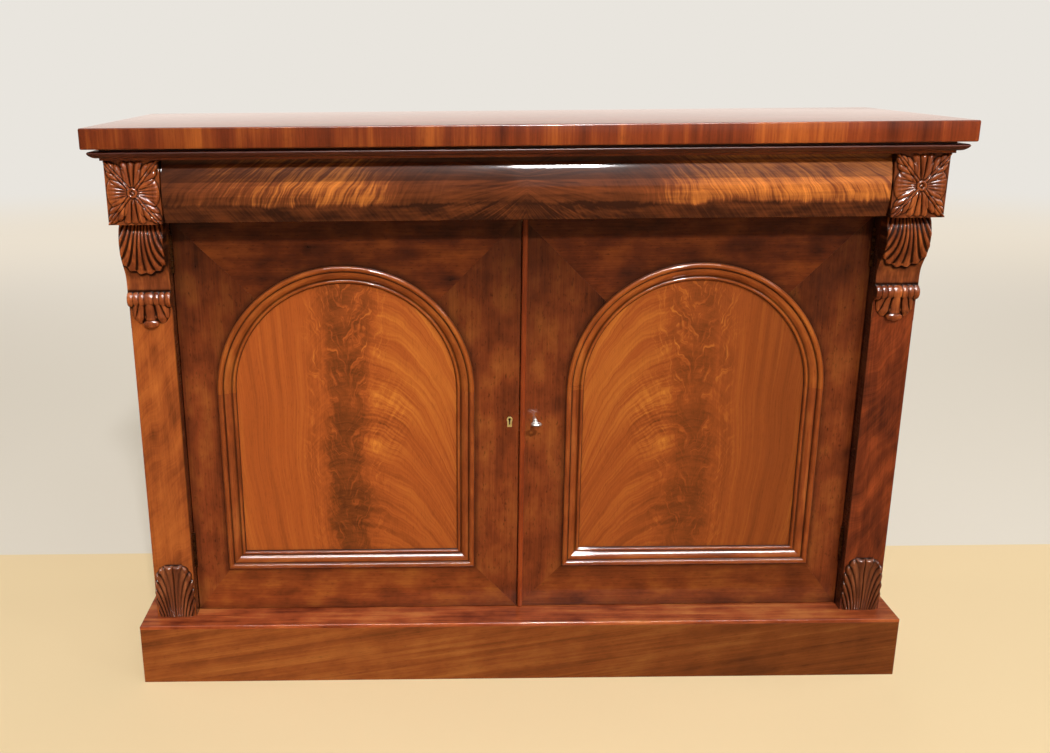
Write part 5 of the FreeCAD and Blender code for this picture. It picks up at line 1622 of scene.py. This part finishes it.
@dataclass
class Cornice:
    """Slab with its banded edge and, under it, the thumb moulding on three sides."""

    round_over: float = 2.5       # of the slab's edges
    proud: float = 15.0           # of the moulding, over the frame behind it

    def build(self) -> None:
        """Make the slab and the three mitred lengths of moulding."""
        self.slab()
        self.moulding()

    def slab(self) -> None:
        """Slab with softened edges, veneered on top and crossbanded on its edges."""
        low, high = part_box("top_slab")
        blank = Blank.block("slab", low, high)
        blank.round_edges(self.round_over * MM, 5, lambda middle, way: middle.y < high.y - 1e-4)
        slab = blank.done(TOP_VENEER, 40)
        slab.data.materials.append(EDGE_BANDING.material())
        for face in slab.data.polygons:
            if abs(face.normal.z) < 0.75:
                face.material_index = 1
        seat(slab, "carcass", "top_veneer", "top_slab")

    def moulding(self) -> None:
        """Thumb moulding: flat on top, a full nose, curving back below."""
        low, high = extent("top_moulding")
        inner_x, inner_y = high.x - self.proud, low.y + self.proud
        nose = high.z - 3.0
        profile = [(0.0, low.z), (2.5, low.z)]
        profile += arc((2.5, low.z), (10.5, low.z + 2.6), (self.proud, nose), 10)
        profile += arc((self.proud, nose), (self.proud - 0.9, nose + 2.1), (self.proud - 3.0, high.z), 6)
        profile += [(0.0, high.z)]
        front = Blank.section("thumb_moulding_front", [
            Vector((low.x, inner_y - out, z)) * MM for out, z in profile])
        front.push(((high.x - low.x) * MM, 0, 0))
        for end in (1, -1):
            front.trim(Vector((end * inner_x, inner_y, 0)) * MM, (end, 1, 0))
        front.record("run", points_of(front.piece)[:, [0, 2, 1]])
        pieces = [front.done(DARK_MOULDED)]
        side = Blank.section("thumb_moulding_right", [
            Vector((inner_x + out, low.y, z)) * MM for out, z in profile])
        side.push((0, (high.y - low.y) * MM, 0))
        side.trim(Vector((inner_x, inner_y, 0)) * MM, (-1, -1, 0))
        side.record("run", points_of(side.piece)[:, [1, 2, 0]])
        pieces.append(side.done(DARK_MOULDED))
        pieces.append(mirrored(pieces[-1], "thumb_moulding_left"))
        for piece in pieces:
            seat(piece, "carcass", "solid_mahogany", "top_moulding")


@dataclass
class Cushion:
    """Cushion-shaped front of the frieze drawer, veneered over its curve."""

    rim: float = 20.0             # rim of the cushion proud of the drawer front
    step: float = 7.0             # plain step along the top
    bulge: float = 10.0           # how far the crown stands before the rim

    def build(self) -> None:
        """Sweep the cushion's outline along the drawer."""
        low, high = extent("drawer_cushion")
        rim = high.y - self.rim
        crown = high.z - self.step
        outline = [(high.y, low.z), (rim + 1.5, low.z), (rim, low.z + 0.6)]
        outline += arc((rim, low.z + 0.6), (rim - self.bulge, (low.z + crown) / 2), (rim, crown), 26)
        outline += [(rim + 3.0, crown), (rim + 3.0, high.z - 0.8), (rim + 3.8, high.z), (high.y, high.z)]
        blank = Blank.section("cushion_front", [Vector((low.x, y, z)) * MM for y, z in outline])
        blank.push(((high.x - low.x) * MM, 0, 0))
        seat(blank.done(RIPPLE, 30), "drawer", "flame_veneer", "drawer_cushion")


@dataclass
class Bead:
    """Astragal planted on the right door's meeting edge."""

    foot: float = 1.2             # straight part of its sides

    def build(self) -> None:
        """Sweep the half-round bead down the door."""
        low, high = extent("right_door_astragal")
        middle = (low.x + high.x) / 2
        outline = [(low.x, high.y), (low.x, high.y - self.foot)]
        outline += arc((low.x, high.y - self.foot), (middle, low.y), (high.x, high.y - self.foot), 14)
        outline += [(high.x, high.y)]
        blank = Blank.section("astragal_bead", [Vector((x, y, low.z)) * MM for x, y in outline])
        blank.push((0, 0, (high.z - low.z) * MM))
        seat(blank.done(ASTRAGAL, 40), "right_door", "frame_veneer", "right_door_astragal")


# ---------------------------------------------------------------- metalwork
@dataclass
class Key:
    """Steel key in the right door's lock, its bow lying flat."""

    barrel: float = 2.9           # radius of the barrel
    across: float = 7.4           # half widths of the bow, to the middle of its wire
    along: float = 5.4
    wire: float = 2.1             # radius of the bow's wire
    bit: tuple[float, float, float] = (9.0, 1.5, 7.0)       # its reach, and where it starts and ends

    def build(self) -> None:
        """Turn the barrel, bend the bow and file the bit."""
        low, high = extent("key")
        centre = Vector(((low.x + high.x) / 2, 0, (low.z + high.z) / 2))
        bow_y = low.y + self.along + self.wire
        start = Vector((centre.x, high.y, centre.z)) * MM
        bow_at = Vector((centre.x, bow_y, centre.z)) * MM
        stem = Blank.disc("key", start, self.barrel * MM, (0, -1, 0), 24)
        long = high.y - bow_y - self.along - 3.0
        collars = [(long * 0.72 * MM, 1.0), (0.3 * MM, 1.35), (1.4 * MM, 1.0), (0.3 * MM, 0.74),
                   (long * 0.14 * MM, 1.0), (0.3 * MM, 1.4), (1.6 * MM, 1.0), (0.4 * MM, 0.6),
                   (long * 0.14 * MM, 0.8)]
        stem.rims(collars, Vector((0, -1, 0)), start)
        parts = [stem.done(STEEL)]
        put_down()
        bpy.ops.mesh.primitive_torus_add(major_segments=40, minor_segments=14, location=bow_at,
                                         major_radius=self.across * MM, minor_radius=self.wire * MM)
        bow = Blank("key_bow")
        bow.edit("VERT")
        bpy.ops.transform.resize(value=(1, self.along / self.across, 1), center_override=tuple(bow_at))
        pick(bow.piece)
        bpy.ops.object.transform_apply()
        parts.append(bow.done(STEEL))
        reach, near, far = self.bit
        bit = Blank.block("key_bit", Vector((centre.x, high.y - far, centre.z - 1.0)) * MM,
                          Vector((centre.x + reach, high.y - near, centre.z + 1.0)) * MM)
        bit.round_edges(0.25 * MM, 2, lambda middle, way: True)
        parts.append(bit.done(STEEL))
        seat(joined("key_steel", parts), "key", "steel", "key")


@dataclass
class Screws:
    """Slotted countersunk screws of the hinges, the lock, the bolt plates and the strike plate."""

    head: float = 2.2             # radius of a hinge screw's head
    heads: tuple[float, float, float] = (2.0, 1.9, 1.6)         # of the lock's, the strike's, the plates'
    slot: float = 0.7             # width of the slot
    sunk: float = 0.35            # depth of the slot, as a share of the head's radius
    skirt: float = 0.5            # height of the head's edge, likewise
    proud: float = 0.15           # how far the head stands over its plate
    hinge_z: tuple[float, float] = (200.0, 736.0)                               # foot of each hinge
    hinge_screws: tuple[tuple[float, float], ...] = ((10.0, 0.0), (32.0, 4.0), (54.0, 0.0))  # up, inwards
    leaf_y: float = -114.0
    frame_leaf: float = 581.0     # faces of the hinge leaves, from the centre line
    door_leaf: float = 580.0
    lock_z: float = 474.0
    lock_screws: tuple[tuple[float, float], tuple[float, float]] = ((7.0, 42.0), (-17.5, 17.5))
    strike: tuple[float, float] = (-2.0, -110.75)               # x and y of the strike plate's screws
    strike_z: tuple[float, float] = (465.0, 496.5)
    plate_x: tuple[float, float] = (-21.6, -12.4)               # the bolt plates' screws
    plate_z: tuple[float, ...] = (128.0, 217.5, 718.0, 807.5)

    def places(self) -> dict[str, list[tuple[Sequence[float], Sequence[float], float]]]:
        """Where the screws sit.

        Returns:
            Per body, each screw's place in millimetres, the way it faces and its head's radius.
        """
        hinge = [(self.leaf_y + inwards, z + up) for z in self.hinge_z for up, inwards in self.hinge_screws]
        across, rise = self.lock_screws
        lock, strike, plate = self.heads
        right = [((self.door_leaf, y, z), (1, 0, 0), self.head) for y, z in hinge]
        right += [((x, DOOR_BACK, self.lock_z + up), (0, 1, 0), lock) for x in across for up in rise]
        left = [((-self.door_leaf, y, z), (-1, 0, 0), self.head) for y, z in hinge]
        left += [((*self.strike, z), (1, 0, 0), strike) for z in self.strike_z]
        left += [((x, DOOR_BACK, z), (0, 1, 0), plate) for x in self.plate_x for z in self.plate_z]
        carcass = [((side * self.frame_leaf, y, z), (-side, 0, 0), self.head)
                   for side in (-1, 1) for y, z in hinge]
        return {"carcass": carcass, "left_door": left, "right_door": right}

    def build(self) -> None:
        """File one screw and set copies of it, each body's in one piece."""
        model = self.model()
        for body, places in self.places().items():
            copies = [self.placed(model, *place, turn=index * 0.7) for index, place in enumerate(places)]
            seat(joined(body + "_screws", copies), body, "brass")
        bpy.data.objects.remove(model)

    def model(self) -> bpy.types.Object:
        """Head of radius 1 at the origin, facing up: a flat head with a sunk slot and a skirt.

        Returns:
            The model screw.
        """
        blank = Blank.disc("screw", (0, 0, 0), 1.0, (0, 0, 1), 20)
        half = self.slot / self.head / 2
        for side in (-1, 1):
            blank.edit()
            bpy.ops.mesh.bisect(plane_co=(side * half, 0, 0), plane_no=(1, 0, 0))
        blank.edit("FACE", "DESELECT")
        bpy.ops.object.mode_set(mode="OBJECT")
        for face in blank.piece.data.polygons:
            face.select = abs(face.center.x) < half
        bpy.ops.object.mode_set(mode="EDIT")
        bpy.ops.mesh.extrude_region_move(TRANSFORM_OT_translate={"value": (0, 0, -self.sunk)})
        put_down()
        blank.edit("EDGE", "DESELECT")
        bpy.ops.mesh.select_non_manifold()
        bpy.ops.mesh.extrude_edges_move(TRANSFORM_OT_translate={"value": (0, 0, -self.skirt)})
        bpy.ops.mesh.edge_face_add()
        put_down()
        return blank.done(BRASS)

    def placed(self, model: bpy.types.Object, place: Sequence[float], way: Sequence[float], size: float,
               turn: float) -> bpy.types.Object:
        """Copy of the screw with its own mesh.

        Args:
            model: the screw at the origin.
            place: point on the surface, in millimetres.
            way: direction in which the head looks.
            size: radius of the head.
            turn: angle of the slot.

        Returns:
            The copy, its mesh moved into place.
        """
        copy = model.copy()
        copy.data = model.data.copy()
        bpy.context.scene.collection.objects.link(copy)
        spot = (Vector(place) + Vector(way) * self.proud) * MM
        facing = Vector(way).to_track_quat("Z", "Y").to_matrix().to_4x4()
        copy.data.transform(Matrix.Translation(spot) @ facing @ Matrix.Rotation(turn, 4, "Z")
                            @ Matrix.Scale(size * MM, 4))
        return copy


# ---------------------------------------------------------------- frame pieces that keep their shape
DRESSING: tuple[tuple[Finish, float, tuple[str, ...]], ...] = (
    (SIDE, 0.5, ("carcass_left", "carcass_right")),
    (INNER_EDGE, 0.3, ("front_stiles", "drawer_divider")),
    (PILASTER, 0.0, ("pilaster_left",)),
    (RED_PILASTER, 0.0, ("pilaster_right",)),
    (FRAME_UPRIGHT, 0.4, ("left_door_hinge_stile", "left_door_meeting_stile", "right_door_hinge_stile",
                          "right_door_meeting_stile")),
    (FRAME_ABOVE, 0.4, ("left_door_top_rail", "right_door_top_rail")),
    (FRAME_BELOW, 0.4, ("left_door_bottom_rail", "right_door_bottom_rail")),
    (FLAME, 0.0, ("left_door_panel", "right_door_panel")),
    (PLINTH, 0.8, ("plinth_front",)),
    (PLINTH_RETURN, 0.8, ("plinth_returns",)),
    (LEDGE, 0.0, ("plinth_ledge",)),
    (SIDE, 0.4, ("top_frame",)),
    (PINE, 0.6, ("back_boards",)),
    (PINE_ACROSS, 0.6, ("carcass_bottom", "shelf", "plinth_back", "door_stop", "plinth_glue_blocks")),
    (PINE_DEEP, 0.6, ("drawer_runners", "shelf_bearers")),
    (LINING, 0.5, ("drawer_side_left", "drawer_side_right", "drawer_bottom")),
    (LINING_ACROSS, 0.5, ("drawer_front", "drawer_back")),
    (HINGE_BRASS, 0.2, ("hinge_frame_leaves", "left_door_hinge_leaves", "right_door_hinge_leaves")),
    (THREAD_BRASS, 0.2, ("left_door_escutcheon",)),
    (BRASS, 0.2, ("left_door_plates", "right_door_lock_case", "lock_bolt",
                  "left_door_upper_bolt", "left_door_lower_bolt")),
)


def dress_frame() -> None:
    """Give every carried-over node its finish and break its sharp edges."""
    for finish, edge, nodes in DRESSING:
        for name in nodes:
            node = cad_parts[name]
            node.data.materials.clear()
            node.data.materials.append(finish.material())
            if edge:
                weld = node.modifiers.new("merge", "WELD")
                weld.merge_threshold = 1e-5
                bevel = node.modifiers.new("broken_edges", "BEVEL")
                bevel.width = edge * MM
                bevel.segments = 2
                bevel.limit_method = "ANGLE"
                bevel.angle_limit = math.radians(40)
            LOG.info("%s: %s", name, finish.name)


# ---------------------------------------------------------------- room
@dataclass
class Studio:
    """Plain pale floor and backdrop, soft lights and the camera."""

    wall: float = 0.345           # where the floor turns into the backdrop
    floor_colour: str = "#EFD5A8"
    wall_colour: str = "#E2DED6"
    air_colour: str = "#E9E5DE"

    def build(self) -> None:
        """Set the floor, the backdrop, the world, the lamps and the camera."""
        self.floor()
        self.screens()
        self.world()
        self.lamps()
        self.camera()
        bpy.context.scene.view_settings.view_transform = "Standard"

    def floor(self) -> None:
        """Floor that is carpet-coloured in front and turns into a pale, evenly lit wall behind.

        Gloss sees it dimmer, as polished wood does in a furnished room.
        """
        put_down()
        bpy.ops.mesh.primitive_plane_add(size=24)
        floor = bpy.context.object
        floor.name = "floor"
        made = bpy.data.materials.new("studio_floor")
        tree = emptied(made)
        split = add_node(tree, "SeparateXYZ", {0: add_node(tree, "TexCoord").outputs["Object"]})
        across, far = (Field(tree, split.outputs[axis]) for axis in range(2))
        away = across.span(far).rise(3.5, 8.5)
        colour = add_node(tree, "Mix", {0: far.rise(self.wall - 0.002, self.wall + 0.002),
                                        6: linear(self.floor_colour), 7: linear(self.wall_colour)},
                          data_type="RGBA")
        matt = add_node(tree, "BsdfDiffuse", {"Color": colour})
        glow = add_node(tree, "Emission", {"Color": linear(self.air_colour)})
        lit = add_node(tree, "MixShader", {0: far.rise(self.wall, 5.0), 1: matt, 2: glow})
        dark = add_node(tree, "Emission", {"Color": linear("#5E4A34")})
        horizon = add_node(tree, "Mix", {0: away, 6: linear(self.floor_colour), 7: linear(self.air_colour)},
                           data_type="RGBA")
        pale = add_node(tree, "Emission", {"Color": horizon})
        path = add_node(tree, "LightPath")
        share = Field(tree, path.outputs["Is Camera Ray"]) * (away * 0.78 + 0.22)
        lifted = add_node(tree, "MixShader", {0: share, 1: lit, 2: pale})
        shown = add_node(tree, "MixShader", {0: path.outputs["Is Glossy Ray"], 1: lifted, 2: dark})
        add_node(tree, "OutputMaterial", {"Surface": shown})
        floor.data.materials.append(made)

    def screens(self) -> None:
        """Two far pale screens, mirrored by the polished top and by the cushion's right half."""
        for name, place, half, strength in (("screen_behind", (0, 9.0, 1.6), (9.0, 1.6), 1.15),
                                            ("screen_in_front", (2.7, -6.6, 2.6), (2.2, 1.6), 0.6)):
            put_down()
            bpy.ops.mesh.primitive_plane_add(size=2, location=place, rotation=(math.pi / 2, 0, 0))
            screen = bpy.context.object
            screen.name = name
            screen.scale = (*half, 1.0)
            bpy.ops.object.transform_apply()
            made = bpy.data.materials.new("studio_" + name)
            tree = emptied(made)
            seen = add_node(tree, "Emission", {"Color": linear(self.air_colour)})
            gleam = add_node(tree, "Emission", {"Color": linear("#F4E6DC"), "Strength": strength})
            path = add_node(tree, "LightPath")
            shown = add_node(tree, "MixShader", {0: path.outputs["Is Camera Ray"], 1: gleam, 2: seen})
            add_node(tree, "OutputMaterial", {"Surface": shown})
            screen.data.materials.append(made)

    def world(self) -> None:
        """Soft fill for the object, wall colour for the eye; gloss sees a dim room and a pale ceiling."""
        world = bpy.data.worlds.new("studio")
        bpy.context.scene.world = world
        tree = emptied(world)
        path = add_node(tree, "LightPath")
        fill = add_node(tree, "Background", {"Color": linear("#F6EFE4"), "Strength": 0.14})
        split = add_node(tree, "SeparateXYZ", {0: add_node(tree, "TexCoord").outputs["Generated"]})
        above = Field(tree, split.outputs[2]).rise(0.74, 0.90)
        room = add_node(tree, "Background", {"Color": linear("#8A7A68"), "Strength": 0.5})
        ceiling = add_node(tree, "Background", {"Color": linear("#FBF4EC"), "Strength": 1.7})
        dim = add_node(tree, "MixShader", {0: above, 1: room, 2: ceiling})
        pale = add_node(tree, "Background", {"Color": linear(self.air_colour), "Strength": 1.0})
        glossy = add_node(tree, "MixShader", {0: path.outputs["Is Glossy Ray"], 1: fill, 2: dim})
        shown = add_node(tree, "MixShader", {0: path.outputs["Is Camera Ray"], 1: glossy, 2: pale})
        add_node(tree, "OutputWorld", {"Surface": shown})

    def lamps(self) -> None:
        """A distant soft key in front, a strip that only the polish mirrors, and weak fills all round."""
        for name, place, size, watts in (("key", (0.83, -5.6, 4.75), (0.6, 0.5), 430.0),
                                         ("overhead", (0.2, -2.2, 4.2), (2.2, 0.8), 30.0),
                                         ("right", (3.4, -2.6, 2.6), (0.6, 0.6), 18.0),
                                         ("gleam", (0.35, -2.3, 4.3), (3.4, 0.6), 276.0),
                                         ("left_side", (-3.6, 0.5, 2.4), (1.5, 1.5), 22.0),
                                         ("right_side", (3.6, 0.5, 2.4), (1.5, 1.5), 22.0),
                                         ("behind", (0.5, 4.2, 2.6), (2.5, 1.5), 45.0)):
            data = bpy.data.lights.new(name, "AREA")
            data.shape = "RECTANGLE"
            data.size, data.size_y = size
            data.energy = watts
            lamp = bpy.data.objects.new(name, data)
            lamp.location = place
            lamp.visible_glossy = name != "behind"
            lamp.visible_diffuse = name != "gleam"
            aim = Vector((0, 0, 0.5)) - Vector(place)
            lamp.rotation_euler = aim.to_track_quat("-Z", "Y").to_euler()
            bpy.context.scene.collection.objects.link(lamp)

    def camera(self) -> None:
        """Standing eye a little left of the middle, looking slightly down."""
        place = Vector((-0.15275, -1.90342, 1.07396))
        yaw, pitch, roll = 0.00259, -0.2908, -0.00913
        ahead = Vector((math.sin(yaw) * math.cos(pitch), math.cos(yaw) * math.cos(pitch), math.sin(pitch)))
        right = ahead.cross(Vector((0, 0, 1))).normalized()
        above = right.cross(ahead)
        side = right * math.cos(roll) + above * math.sin(roll)
        top = above * math.cos(roll) - right * math.sin(roll)
        data = bpy.data.cameras.new("camera")
        data.sensor_width = 36.0
        data.lens = 37.0546
        data.shift_x = 0.0864
        data.shift_y = 0.0050
        data.clip_start = 0.05
        camera = bpy.data.objects.new("camera", data)
        camera.matrix_world = Matrix((
            (side.x, top.x, -ahead.x, place.x), (side.y, top.y, -ahead.y, place.y),
            (side.z, top.z, -ahead.z, place.z), (0, 0, 0, 1)))
        bpy.context.scene.collection.objects.link(camera)
        bpy.context.scene.camera = camera


def main() -> None:
    """Build the chiffonier from the top down, then the room round it."""
    logging.basicConfig(level=logging.INFO, format="%(message)s")
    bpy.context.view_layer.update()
    dress_frame()
    Cornice().build()
    Cushion().build()
    FlowerBlock().build()
    Console().build()
    FootLeaf().build()
    for body, side in (("left_door", -1), ("right_door", 1)):
        DoorMoulding().build(body, side)
    Bead().build()
    Key().build()
    Screws().build()
    Studio().build()


if __name__ == "__main__":
    main()
